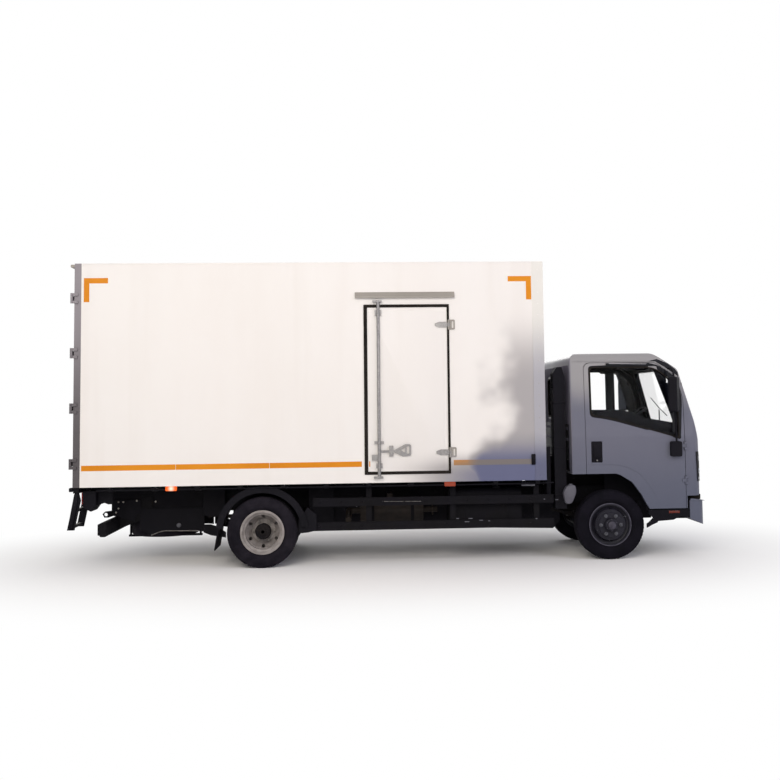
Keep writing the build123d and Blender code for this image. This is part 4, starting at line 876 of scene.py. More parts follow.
def lay_floor():
    """A pale floor that keeps the soft shadow and fades to white away from the truck."""
    form = bmesh.new()
    corners = [form.verts.new((x, y, 0)) for x, y in ((-60, -60), (60, -60), (60, 60), (-60, 60))]
    form.faces.new(corners)
    mesh = bpy.data.meshes.new("floor")
    form.to_mesh(mesh)
    form.free()
    material = bpy.data.materials.new("painted_floor")
    material.use_nodes = True
    tree = material.node_tree
    tree.nodes.clear()
    place = add(tree, "ShaderNodeTexCoord").outputs["Object"]
    squeezed = add(tree, "ShaderNodeMapping", {"Vector": place, "Scale": (0.72, 1.0, 1.0)})
    away = add(tree, "ShaderNodeVectorMath", {0: squeezed.outputs["Vector"]}, operation="LENGTH")
    fade = eased_range(tree, away.outputs["Value"], 1.6, 4.6)
    path = add(tree, "ShaderNodeLightPath")
    seen = sums(tree, "MAXIMUM", path.outputs["Is Camera Ray"], path.outputs["Is Transmission Ray"])
    share = sums(tree, "MULTIPLY", fade, seen)
    matt = add(tree, "ShaderNodeBsdfDiffuse", {"Color": linear("#F2F2F1"), "Roughness": 0.5})
    white = add(tree, "ShaderNodeEmission", {"Color": (1, 1, 1, 1), "Strength": 1.0})
    both = add(tree, "ShaderNodeMixShader", {0: share, 1: matt.outputs[0], 2: white.outputs[0]})
    add(tree, "ShaderNodeOutputMaterial", {"Surface": both.outputs[0]})
    mesh.materials.append(material)
    floor = bpy.data.objects.new("floor", mesh)
    bpy.context.scene.collection.objects.link(floor)


def light_scene():
    """White sky to the eye, glass and gloss, a level that shows colours as written to the rest."""
    world = bpy.data.worlds.new("sky")
    bpy.context.scene.world = world
    world.use_nodes = True
    tree = world.node_tree
    tree.nodes.clear()
    path = add(tree, "ShaderNodeLightPath")
    direct = sums(tree, "MAXIMUM", path.outputs["Is Camera Ray"], path.outputs["Is Glossy Ray"])
    seen = sums(tree, "MAXIMUM", direct, path.outputs["Is Transmission Ray"])
    sky = add(tree, "ShaderNodeBackground", {"Color": linear("#F4F1F6"), "Strength": 0.5})
    white = add(tree, "ShaderNodeBackground", {"Color": (1, 1, 1, 1), "Strength": 1.0})
    both = add(tree, "ShaderNodeMixShader", {0: seen, 1: sky.outputs[0], 2: white.outputs[0]})
    add(tree, "ShaderNodeOutputWorld", {"Surface": both.outputs[0]})
    lamps = (
        ("key", (-2.5, -13.0, 7.0), (-0.8, 0.0, 1.8), 7.0, 740.0, "#FFF8EE"),
        ("fill", (8.0, -8.0, 5.0), (0.5, 0.0, 1.2), 6.0, 190.0, "#ECEBFF"),
        ("back", (1.0, 10.0, 7.5), (0.0, 0.0, 1.5), 7.0, 520.0, "#FFFFFF"),
    )
    for name, place, target, size, power, tone in lamps:
        data = bpy.data.lights.new(name, "AREA")
        data.shape, data.size, data.energy, data.color = "SQUARE", size, power, linear(tone)[:3]
        lamp = bpy.data.objects.new(name, data)
        bpy.context.scene.collection.objects.link(lamp)
        lamp.location = place
        lamp.rotation_mode = "QUATERNION"
        lamp.rotation_quaternion = (Vector(target) - Vector(place)).to_track_quat("-Z", "Y")
    bpy.context.scene.view_settings.view_transform = "Standard"


place_camera()
lay_floor()
light_scene()


# ---------------------------------------------------------------- CAD nodes' finishes
slot_of = {part["node"]: part["material_slot"] for part in frame["record"]["subparts"]}
for node, shown in frame["nodes"].items():
    shown.data.materials.clear()
    shown.data.materials.append(FINISH[slot_of[node]])


# ---------------------------------------------------------------- the box
TAPE_Z = (1070, 1128)
DOOR_SEAL = ((-2709, -1775), (984, 2825))
TAPE_RUNS = {"chassis_rear": (-5717, -2735), "side_door": (-2660, -1838), "chassis_front": (-1745, -861)}


def strip_of_tape(x0, x1, side, z0, z1, length=995):
    """Lengths of tape laid end to end along a wall, a hair apart."""
    forms, start = [], x0
    while start < x1 - 20:
        end = min(start + length, x1)
        face = side * WALL_Y
        forms.append(prism("y", rect(start, end - 4, z0, z1, 2), face, face + side * TAPE_THICK, 0.4, 1))
        start = end
    return forms


def corner_mark(x_end, x_in, z_top, z_low, side, arm=58):
    """An L of tape in an upper corner of a wall."""
    turn = 1 if x_in > x_end else -1
    z_arm = z_top - arm
    outline = [
        (x_end, z_top), (x_in, z_top), (x_in, z_arm), (x_end + turn * arm, z_arm), (x_end + turn * arm, z_low),
        (x_end, z_low),
    ]
    face = side * WALL_Y
    return prism("y", outline, face, face + side * TAPE_THICK, 0.4, 1)


def box_markings():
    """Orange tape along both walls and the L marks in their upper corners."""
    for name, side in SIDES.items():
        marks = [corner_mark(-5706, -5451, 3134, 2874, side), corner_mark(-864, -1122, 3130, 2871, side)]
        if side < 0:
            rear, door, front = (TAPE_RUNS[k] for k in ("chassis_rear", "side_door", "chassis_front"))
            forms = strip_of_tape(*rear, side, *TAPE_Z) + strip_of_tape(*front, side, *TAPE_Z)
            piece("marking_tape_side_door", "side_door", TAPE, strip_of_tape(*door, side, *TAPE_Z))
        else:
            forms = strip_of_tape(-5717, -861, side, *TAPE_Z)
        piece(f"marking_tape_{name}", "chassis", TAPE, forms + marks)


def side_door_seal():
    """Rubber seal all round the side door, and the raised skin of its leaf."""
    (x0, x1), (z0, z1) = DOOR_SEAL
    outer = rect(x0, x1, z0, z1, 8)
    inner = rect(x0 + 39, x1 - 25, z0 + 32, z1 - 32, 6)
    piece(
        "side_door_seal", "side_door", SEAL, [border("y", outer, inner, -WALL_Y - 0.3, -WALL_Y - 9, 2.5)],
    )
    skin = rect(x0 + 60, x1 - 62, z0 + 62, z1 - 66, 10)
    fitted("side_door_skin", "side_door", "box_panel", [prism("y", skin, -WALL_Y, -WALL_Y - 2, 1.2)])


def box_rivets():
    """Rivets down the corner profiles and on the roof edge."""
    forms = []
    for side in SIDES.values():
        way = outward(side)
        wall = side * (WALL_Y + 4)
        forms.append(rivets(7, 3, way, (-796, wall, 950), (0, 0, 125), 19))
        forms.append(rivets(6, 3, way, (-5660, side * WALL_Y, 3270), (150, 0, 0), 33))
        forms.append(rivets(7, 3, "x", (BOX_X[1] + 4, side * 1070, 950), (0, 0, 125), 19))
    fitted("box_rivets", "chassis", "box_panel", forms)


def box_edges():
    """Thin pale edge profiles along the roof and the sill, and the drain plug."""
    forms = []
    for side in SIDES.values():
        face = side * WALL_Y
        for z0, z1 in ((3272, 3291), (897, 905)):
            forms.append(slab(BOX_X[0] + 4, -860, face, face + side * 2, z0, z1, 0.8))
    fitted("box_edge_profiles", "chassis", "box_panel", forms)
    plug = [prism("y", rect(-896, -852, 1064, 1180, 7), -WALL_Y - 4.2, -WALL_Y - 16, 4)]
    plug.append(prism("y", rect(-888, -860, 1084, 1160, 5), -WALL_Y - 15, -WALL_Y - 22, 3))
    fitted("side_drain_plug", "chassis", "black_plastic", plug)


def rear_doors():
    """Seals, rivets and keepers of the twin rear doors."""
    low, high = 954, 3204
    for name, side in SIDES.items():
        outer = rect(*sorted((side * 6, side * 1036)), low + 4, high - 4, 10)
        inner = rect(*sorted((side * 34, side * 1008)), low + 32, high - 32, 8)
        piece(
            f"rear_door_seal_{name}", f"rear_door_{name}", SEAL,
            [border("x", outer, inner, REAR_LEAF_X - 0.3, REAR_LEAF_X - 7, 2)],
        )
        bolts = []
        for z in (1146, 1736, 2326, 2916):
            bolts.append(rivets(7, 4, "-x", (REAR_LEAF_X - 24, side * 850, z), (0, side * 60, 0), 3))
        for y in ROD_Y:
            for z in (1066, 1706, 2446, 3092):
                bolts.append(row(facing(hexagon(17, 6), "-x"), (REAR_LEAF_X - 1, side * y - 40, z), (0, 80, 0), 2))
                bolts.append(slab(
                    REAR_LEAF_X - 7, REAR_LEAF_X - 0.4, side * y - 54, side * y + 54, z - 20, z + 20, 2.5,
                ))
        piece(f"rear_door_fixings_{name}", f"rear_door_{name}", ZINC, bolts)
        grips = []
        for y in ROD_Y:
            x, pad = REAR_LEAF_X - 40, side * (y - 205)
            grips.append(pipe([(x, side * (y - 60), 1376), (x, side * (y - 236), 1376)], 10))
            grips.append(slab(REAR_LEAF_X - 32, REAR_LEAF_X - 0.5, pad - 22, pad + 22, 1340, 1362, 4))
        fitted(f"rear_door_grips_{name}", f"rear_door_{name}", "black_plastic", grips)
    keepers = []
    for side in SIDES.values():
        for y in ROD_Y:
            for z0, z1 in ((908, 944), (3216, 3250)):
                for y0, y1 in ((side * y - 30, side * y - 18), (side * y + 18, side * y + 30)):
                    keepers.append(slab(REAR_FRAME_X - 30, REAR_FRAME_X - 0.5, y0, y1, z0, z1, 2.5))
    fitted("rear_lock_keepers", "chassis", "galvanised", keepers)


def tail_lights():
    """Ribbed lenses on the lamp housings, the plate carrier and its blank plate."""
    for name, side in SIDES.items():
        for tone, lens, (y0, y1) in (
            ("red", RED, (905, 1000)), ("amber", AMBER, (820, 900)), ("clear", CLEAR, (732, 815)),
        ):
            form = prism("x", rect(*sorted((side * y0, side * y1)), 706, 838, 12), -5727, -5741, 6, 3)
            piece(f"tail_lens_{tone}_{name}", "chassis", lens, [form])
    carrier = [slab(-5752, -5744, -270, 270, 688, 834, 3), slab(-5752, -5700, -40, 40, 812, 834, 3)]
    fitted("plate_carrier_rear", "chassis", "black_plastic", carrier)
    piece("blank_plate_rear", "chassis", PLATE, [prism("x", rect(-258, 258, 700, 812, 10), -5752, -5756, 1.2)])


def bulkhead():
    """Stiffening channels and a blanked panel on the front wall above the cab."""
    face = BOX_X[1]
    ribs = [slab(face, face + 7, y - 22, y + 22, 930, 3250, 3) for y in (-700, -350, 350, 700)]
    ribs.append(slab(face, face + 5, -330, 330, 2500, 3080, 3))
    fitted("bulkhead_stiffeners", "chassis", "box_panel", ribs)
    forms = [rivets(7, 3, "x", (face + 5, -300, z), (0, 100, 0), 7) for z in (2525, 3055)]
    piece("bulkhead_rivets", "chassis", ZINC, forms)
    lamps = [prism("x", rect(y - 45, y + 45, 3190, 3226, 12), face, face + 22, 7, 3) for y in (-960, 960)]
    piece("clearance_lamps", "chassis", CLEAR, lamps)


box_markings()
side_door_seal()
box_rivets()
box_edges()
rear_doors()
tail_lights()
bulkhead()


# ---------------------------------------------------------------- wheels
def tyre_form(y, x, out):
    """A ribbed radial tyre: four tread ribs, shoulder, sidewall rings and bead."""
    half = [
        (76, 224), (76, 238), (96, 258), (101, 272), (103, 280), (104.5, 292), (104, 318), (102, 334), (100, 338),
        (99, 350), (96, 362), (90, 372), (82, 378), (60, 379.2), (58, 369), (50, 369), (48, 379.6), (22, 380),
        (20, 369), (12, 369), (10, 380),
    ]
    profile = half + [(-a, r) for a, r in reversed(half)]
    return lathe(profile, (x, y, AXLE_Z), out, 96)


def shoulder_lugs(y, x):
    """The short lugs that notch both shoulders of a tyre, as one ring."""
    forms = []
    for sign in (-1, 1):
        lug = bmesh.new()
        ends = []
        for depth, half in ((0, 9), (20, 8.1)):
            points = [(-half, 0), (half, 0), (half, 14), (-half, 14)]
            ends.append([lug.verts.new(((b - 7) * MM, a * MM, (depth - 10) * MM)) for a, b in points])
        lug.faces.new(ends[0])
        lug.faces.new(ends[1])
        bridge(lug, *ends)
        bmesh.ops.recalc_face_normals(lug, faces=lug.faces)
        forms.append(ring(lug, 369, 60, (x, y + sign * 88, AXLE_Z), "y"))
    return forms


def wheel_nuts(x, y, out, body, name, nut_tone):
    """Wheel nuts with their washers, and the valve stem."""
    way = outward(out)
    forms = [
        ring(hexagon(33, 22, 3), STUD_RADIUS, 6, (x, y, AXLE_Z), way),
        ring(dome(21, 5, 12), STUD_RADIUS, 6, (x, y - out * 2, AXLE_Z), way),
    ]
    forms.append(ring(dome(8, 30, 8), STUD_RADIUS, 6, (x, y + out * 18, AXLE_Z), way))
    forms.append(pipe([(x + 150, y - out * 30, AXLE_Z + 90), (x + 158, y + out * 30, AXLE_Z + 94)], 5, 8))
    piece(f"{name}_nuts", body, nut_tone, forms)


def wheels():
    """Tyres with tread, rim edges, hub faces, nuts and valves for all six wheels."""
    for name, side in SIDES.items():
        y = side * 840
        body = f"front_wheel_{name}"
        # front tyres in the darker rubber: painted shade
        tyre = piece(
            f"tyre_front_{name}", body, SHADED_RUBBER, [tyre_form(y, 0, side), *shoulder_lugs(y, 0)],
        )
        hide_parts(f"front_tyre_{name}")
        face = y + side * 143
        wheel_nuts(0, face - side * 18, side, body, f"front_wheel_{name}", GREY_ZINC)
        edge = lathe([(84, 225), (86, 236), (89, 237), (90, 233), (88, 225)], (0, y, AXLE_Z), side, 96)
        piece(f"front_rim_edge_{name}", body, RIM_EDGE, [edge])
        cap = lathe([(0, 0), (0, 44), (10, 46), (22, 42), (28, 30), (30, 0)], (0, face + side * 22, AXLE_Z), side, 36)
        piece(
            f"front_hub_cap_{name}", body, RIM_EDGE,
            [cap, ring(hexagon(12, 5), 60, 6, (0, face + side * 24, AXLE_Z), outward(side), 30)],
        )
        body = f"rear_wheels_{name}"
        forms = []
        for offset in (-121, 119):
            wheel_y = side * (825 + offset)
            forms += [tyre_form(wheel_y, REAR_AXLE_X, side), *shoulder_lugs(wheel_y, REAR_AXLE_X)]
        tyre = fitted(f"tyres_rear_{name}", body, "tyre_rubber", forms)
        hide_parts(f"rear_tyres_{name}")
        wheel_nuts(REAR_AXLE_X, side * 838, side, body, f"rear_wheels_{name}", ZINC)
        edge = lathe(
            [(84, 213), (86, 236), (89, 237), (90, 232), (88, 213)], (REAR_AXLE_X, side * 944, AXLE_Z), side, 96,
        )
        fitted(f"rear_rim_edge_{name}", body, "rear_rim_paint", [edge])
        hub = [(-70, 40), (-70, 84), (-30, 86), (0, 84), (9, 78), (14, 60), (16, 40), (24, 36), (27, 0)]
        hub = lathe(hub, (REAR_AXLE_X, side * 948, AXLE_Z), side, 48)
        fitted(
            f"rear_hub_face_{name}", body, "cast_metal",
            [hub, ring(hexagon(14, 6), 46, 8, (REAR_AXLE_X, side * 962, AXLE_Z), outward(side))],
        )


wheels()


# ---------------------------------------------------------------- the cab
WINDOW = [(-195, 1590), (-195, 2115), (520, 2115), (700, 1985), (775, 1760), (775, 1335), (20, 1560)]
WINDOW_ROUND = [50, 40, 110, 110, 120, 20, 120]
FRAME_BAND = [(-214, 1571), (-214, 2136), (540, 2166), (774, 2012), (836, 1800), (800, 1310), (14, 1536)]


def door_trim():
    """Black trim of both cab doors: frame round the glass, seal, rain visor, handle and lock."""
    for name, side in SIDES.items():
        body = f"cab_door_{name}"
        skin = cad_tree(f"cab_door_{name}")
        inner = rounded(moved_in(WINDOW, -6), WINDOW_ROUND, 6)
        band = rounded(FRAME_BAND, [50, 40, 110, 100, 180, 24, 110], 6)
        piece(f"window_frame_{name}", body, GLOSS, [seal_on(skin, band, inner, side, 1.2, 3)])
        outer = rounded(moved_in(WINDOW, -10), WINDOW_ROUND, 6)
        lip = rounded(moved_in(WINDOW, 4), WINDOW_ROUND, 6)
        piece(f"window_seal_{name}", body, SEAL, [seal_on(skin, outer, lip, side, 5, 9)])
        visor = [
            (-16, 2164), (-16, 2104), (505, 2104), (590, 2060), (690, 1990), (742, 2000), (640, 2086), (556, 2138),
            (470, 2164),
        ]
        piece(f"rain_visor_{name}", body, GLOSS, [cladding(skin, visor, side, 9, 4, 35)])
        # a pale tapered strip along the visor's top: painted highlight
        edge = [(20, 2164), (20, 2158), (440, 2150), (448, 2155)]
        fitted(f"visor_highlight_{name}", body, "trim_metal", [cladding(skin, edge, side, 14, 2, 30)])
        wall = side * CAB_Y
        recess = prism("y", rect(-208, -84, 1068, 1301, 22), wall - side * 20, wall + side * 1.5, 4, 3)
        paddle = prism("y", rect(-186, -106, 1120, 1270, 16), wall - side * 2, wall + side * 12, 6, 3)
        fitted(f"door_handle_{name}", body, "black_plastic", [recess, paddle])
        pane = cad_tree(f"door_glass_{name}")
        frit = [
            (470, 2112), (480, 2092), (560, 2072), (625, 2004), (652, 1912), (650, 1800), (662, 1700), (694, 1600),
            (716, 1520), (716, 1356), (773, 1340), (773, 1760), (697, 1984), (518, 2112),
        ]
        piece(f"window_frit_{name}", body, GLOSS, [cladding(pane, frit, side, 0.6, 0.6, 50)])
        ledge = [
            (-206, 1572), (-206, 1650), (170, 1646), (430, 1552), (716, 1500), (770, 1500), (770, 1310), (14, 1536),
        ]
        fitted(
            f"door_ledge_{name}", body, "trim_plastic",
            [prism("y", rounded(ledge, 18, 3), side * 912, side * 950, 8, 3)],
        )
        lock = lathe([(0, 0), (0, 9), (3, 9), (4, 6), (4, 0)], (-146, wall + side * 1.5, 1092), side, 20)
        piece(f"door_lock_{name}", body, STEEL, [lock])
        crease = [
            (x, wall + side * 0.6, z)
            for x, z in ((-262, 1044), (40, 1042), (190, 1014), (330, 940), (430, 820), (500, 690))
        ]
        fitted(f"door_crease_{name}", body, "cab_paint", [pipe(crease, 1.6, 8)])


def cab_black_corners():
    """Black roof corner caps, lamp strips round the front corners, drip channels and side reflectors."""
    shell = cad_tree("cab_shell", "front_panel")
    for name, side in SIDES.items():
        corner = [
            (468, 2184), (548, 2182), (646, 2121), (788, 2022), (842, 1908), (852, 1908), (838, 1966), (812, 2036),
            (762, 2098), (684, 2158), (566, 2206),
        ]
        piece(f"roof_corner_{name}", "cab", GLOSS, [cladding(shell, corner, side, 3, 4, 30)])
        strip = [(966, 1172), (1000, 1172), (1009, 1080), (1010, 846), (980, 846), (975, 1000)]
        piece(f"corner_lamp_{name}", "cab", GLOSS, [cladding(shell, strip, side, 4, 5, 25)])
        bright = (
            [(988, 1120), (1002, 1120), (1004, 1070), (992, 1070)],
            [(992, 990), (1006, 990), (1006, 930), (992, 930)],
            [(988, 890), (1004, 890), (1004, 866), (988, 866)],
        )
        piece(
            f"corner_lamp_bowls_{name}", "cab", SILVER, [cladding(shell, b, side, 7, 3, 20) for b in bright],
        )
        channel = [(-392, 2196), (-392, 2186), (466, 2186), (462, 2196)]
        fitted(f"drip_channel_{name}", "cab", "cab_paint", [cladding(shell, channel, side, 3, 4, 60)])
        glow = [(643, 527), (643, 500), (765, 500), (765, 527)]
        lens = prism("y", glow, side * 990, side * 994, 2)
        piece(f"side_reflector_{name}", "chassis", DIM_RED, [lens])


def cab_front():
    """Windscreen border, wipers, grille mesh, lamp bowls, indicators, garnish, plate and fog lamps."""
    glass = cad_tree("cab_glass")
    border_forms = []
    for side in SIDES.values():
        border_forms.append(cladding(
            glass, [(side * 850, 1408), (side * 815, 1408), (side * 762, 2078), (side * 796, 2078)], side, 1, 2, 60,
            "x",
        ))
    border_forms.append(cladding(glass, [(-800, 1408), (800, 1408), (796, 1462), (-796, 1462)], 1, 1, 2, 70, "x"))
    border_forms.append(cladding(glass, [(-770, 2060), (770, 2060), (768, 2082), (-768, 2082)], 1, 1, 2, 70, "x"))
    piece("windscreen_border", "cab", GLOSS, border_forms)
    seam = cad_tree("cab_glass", "cab_shell")
    wipers = []
    for y in (560, -120):
        wipers.append(laid_bar(seam, [(y, 1372), (y - 290, 1660)], 7, 16))
        wipers.append(laid_bar(seam, [(y - 560, 1560), (y - 290, 1660), (y - 30, 1790)], 5, 9))
        wipers.append(lathe([(0, 0), (0, 22), (12, 20), (18, 0)], (1006, y, 1366), 1, 20, "x"))
    fitted("wipers", "cab", "black_plastic", wipers)
    mesh = []
    for z0, z1 in ((888, 942), (998, 1168)):
        mesh.append(slab(926, 931, -540, 540, z0, z1, 1))
        mesh.append(row(slab_local(4, 4, z1 - z0 - 6), (936, -530, (z0 + z1) / 2), (0, 20, 0), 54))
    fitted("grille_mesh", "cab", "black_plastic", mesh)
    face = cad_tree("front_panel", "headlamps", "cab_shell")
    for name, side in SIDES.items():
        bezel = [(side * 655, 862), (side * 846, 862), (side * 846, 1150), (side * 706, 1128)]
        piece(f"lamp_bezel_{name}", "cab", GLOSS, [cladding(face, bezel, side, 2, 3, 30, "x")])
        bowls = []
        for y, z, r in ((728, 950, 52), (838, 960, 38), (800, 1076, 40)):
            hit, _, _, _ = face.ray_cast(at(FRONT_RAY, side * y, z), Vector((-1, 0, 0)))
            x = hit.x / MM + ORIGIN_X + 3
            bowl = [
                (0, 0), (0, r), (9, r), (10, r - 5), (4, r * 0.6), (3, r * 0.34), (9, r * 0.3), (12, r * 0.2),
                (12, 0),
            ]
            bowls.append(lathe(bowl, (x, side * y, z), 1, 40, "x"))
        piece(f"lamp_bowls_{name}", "cab", SILVER, bowls)
        turn = [(side * 700, 1176), (side * 850, 1192), (side * 850, 1228), (side * 712, 1206)]
        piece(f"turn_lamp_{name}", "cab", AMBER, [cladding(face, turn, side, 4, 5, 30, "x")])
        fog = lathe([(0, 0), (0, 50), (10, 52), (16, 40), (20, 0)], (994, side * 560, 470), 1, 40, "x")
        piece(f"fog_lamp_{name}", "chassis", CLEAR, [fog])
        back = lathe([(0, 0), (0, 54), (2, 54), (2, 0)], (989, side * 560, 470), 1, 32, "x")
        fitted(f"fog_lamp_shell_{name}", "chassis", "black_plastic", [back])
    band = [(-560, 1186), (560, 1186), (540, 1240), (-540, 1240)]
    piece("front_garnish", "cab", GLOSS, [cladding(face, band, 1, 3, 5, 60, "x")])
    plate = prism("x", rect(-255, 255, 445, 550, 10), 1042, 1046, 1.2)
    piece("blank_plate_front", "chassis", PLATE, [plate])


def bumper_trim():
    """Lip that carries the bumper's top up to the cab's lower edge, and black slabs in the gap above it as painted
    shade.
    """
    lip = [(882, 633), (896, 656), (958, 650), (1000, 641), (1046, 636), (1046, 633)]
    forms = [prism("y", lip, side * 962, side * 998, 2) for side in SIDES.values()]
    forms.append(slab(1012, 1046, -960, 960, 633, 636, 1))
    fitted("bumper_lip", "chassis", "cab_paint", forms)
    # black slabs in the gap: painted shade
    shade = [slab(880, 996, side * 935, side * 958, 560, 652, 3) for side in SIDES.values()]
    shade.append(slab(972, 990, -930, 930, 480, 600, 3))
    fitted("bumper_gap_shade", "chassis", "black_plastic", shade)
    # the foam seal that the tilting cab presses flat
    tube = rounded([(906, 652), (1022, 642), (1024, 702), (906, 690)], 12, 5)
    seal = piece("bumper_seal", "chassis", SEAL, [prism("y", tube, -930, 930, 6, 3)])
    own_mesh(seal)


def slab_local(a, b, c):
    """A small block about the local origin, in millimetres, for a repeat."""
    form = bmesh.new()
    bmesh.ops.create_cube(form, size=1)
    for vert in form.verts:
        vert.co = Vector((vert.co.x * a, vert.co.y * b, vert.co.z * c)) * MM
    return eased(form, min(a, b, c) * 0.2, 1)


def cab_back():
    """Dark sheets on the back of the cab, round its window, with pressed ribs: painted shade."""
    def rib(z):
        return slab(-433, -428, -820, 820, z - 16, z + 16, 2)

    shade_above = border("x", rect(-880, 880, 965, 2150, 60), rect(-505, 505, 1535, 2045, 60), -426, -429, 1)
    piece("cab_back_shade_upper", "cab", BACK_SHADE_COAT, [shade_above, rib(1320), rib(1440)])
    # black lower sheet and ribs: painted shade, darker low on the cab's back
    shade_beneath = slab(-430, -427, -872, 872, 970, 1490, 1)
    fitted("cab_back_shade_lower", "cab", "black_plastic", [rib(1080), rib(1200), shade_beneath])
    edge = border("x", rect(-486, 486, 1554, 2026, 56), rect(-468, 468, 1572, 2008, 44), -425.5, -434, 2)
    piece("back_window_seal", "cab", SEAL, [edge])


def behind_cab():
    """Air cleaner, its hose and bracket, hoses to the engine, two black blocks behind the cab as painted shade, and
    the coolant tank.
    """
    drum = [
        (0, 0), (0, 118), (8, 126), (300, 126), (308, 134), (330, 134), (338, 126), (470, 126), (482, 112), (482, 0),
    ]
    parts = [
        lathe(drum, (-588, -660, 1010), 1, 48), pipe([(-535, -690, 1010), (-560, -640, 1010)], 60, 20),
        slab(-640, -540, -560, -330, 772, 900, 6),
    ]
    parts.append(pipe([(-588, -190, 1010), (-588, -60, 1010), (-560, 60, 960), (-470, 60, 900)], 52, 20))
    # two black blocks that fill the space behind the cab: painted shade
    parts.append(slab(-700, -640, -690, 690, 775, 940, 8))
    parts.append(slab(-700, -648, -900, -560, 640, 1250, 10))
    fitted("air_cleaner", "chassis", "black_plastic", parts)
    bands = [lathe([(0, 126.5), (0, 129), (22, 129), (22, 126.5)], (-588, y, 1010), 1, 48) for y in (-560, -300)]
    piece("air_cleaner_straps", "chassis", STEEL, bands)
    shape = rounded([(-530, 748), (-488, 822), (-392, 830), (-380, 748), (-432, 622), (-508, 620)], 34, 5)
    tank = [
        prism("y", shape, -1000, -912, 16, 3),
        lathe([(0, 0), (0, 20), (12, 20), (14, 0)], (-440, -956, 826), 1, 24, "z"),
    ]
    piece("coolant_tank", "chassis", POLY, tank)
    fitted(
        "coolant_tank_bracket", "chassis", "chassis_paint",
        [
            slab(-450, -424, -914, -377, 744, 756, 2),
            pipe([(-440, -914, 690), (-440, -860, 660), (-430, -600, 620)], 9),
        ],
    )


def duct_trim():
    """Louvres in the intake's hood and clamps round its duct."""
    forms = [slab(-602, -560, -852, -728, z, z + 6, 2) for z in range(1912, 2034, 16)]
    forms += [slab(-603, -467, -883, -697, z, z + 26, 5) for z in (700, 1220, 1720)]
    fitted("intake_louvres", "chassis", "black_plastic", forms)


# Black sheets beside the rails and round the wheels, painted shade: how far out each hangs, and its outline
SHADE_SHEETS = (
    (446, [(-3105, 600), (-3105, 350), (-1400, 322), (-560, 300), (-480, 380), (-480, 600)]),
    (562, [(-3340, 832), (-3340, 420), (-3290, 380), (-3060, 372), (-3060, 832)]),
    (392, [(-5240, 600), (-5238, 366), (-5113, 300), (-4980, 345), (-4570, 336), (-4520, 330), (-4520, 600)]),
    (470, [(-4520, 420), (-4520, 330), (-4436, 296), (-4270, 268), (-4270, 330), (-4380, 400), (-4440, 420)]),
    (470, [(-4520, 830), (-4520, 520), (-4400, 500), (-4280, 520), (-4280, 830)]),
    (514, [
        (30, 938), (30, 640), (120, 600), (400, 600), (400, 404), (566, 404), (566, 600), (830, 600), (830, 938),
    ]),
    (930, [
        (404, 640), (404, 545), (440, 505), (526, 452), (526, 410), (478, 424), (404, 386), (404, 344), (532, 396),
        (532, 470), (526, 505), (874, 545), (874, 640),
    ]),
    (1036, [(-3424, 496), (-3426, 362), (-3318, 372), (-3232, 392), (-3232, 560), (-3330, 640)]),
    (900, [(-5634, 896), (-5634, 676), (-5519, 714), (-5478, 697), (-5430, 700), (-5430, 896)]),
    (396, [(-5541, 700), (-5537, 526), (-5505, 517), (-5299, 457), (-5278, 541), (-5229, 541), (-5229, 700)]),
)


def chassis_shade_sheets():
    """Black sheets that close the view between and over the wheels, as painted shade, and thin bright bars as painted
    highlights.
    """
    forms = []
    for side in SIDES.values():
        forms += [prism("y", outline, side * y, side * (y + 6), 1.5, 1) for y, outline in SHADE_SHEETS]
        forms.append(slab(-3332, -3326, side * 590, side * 1040, 374, 620, 2))
    fitted("side_shade_sheets", "chassis", "black_plastic", forms)
    # bright steel bars on the carrier's lip and along the side guard: painted highlights
    highlight_bars = []
    for side in SIDES.values():
        y = side * 403
        highlight_bars.append(pipe([(-5113, y, 302), (-4985, y, 350), (-4580, y, 342)], 7))
        highlight_bars.append(pipe([(-2520, side * 1003, 686), (-2098, side * 1003, 680)], 2.4, 8))
    piece("carrier_and_rail_highlights", "chassis", STEEL, highlight_bars)


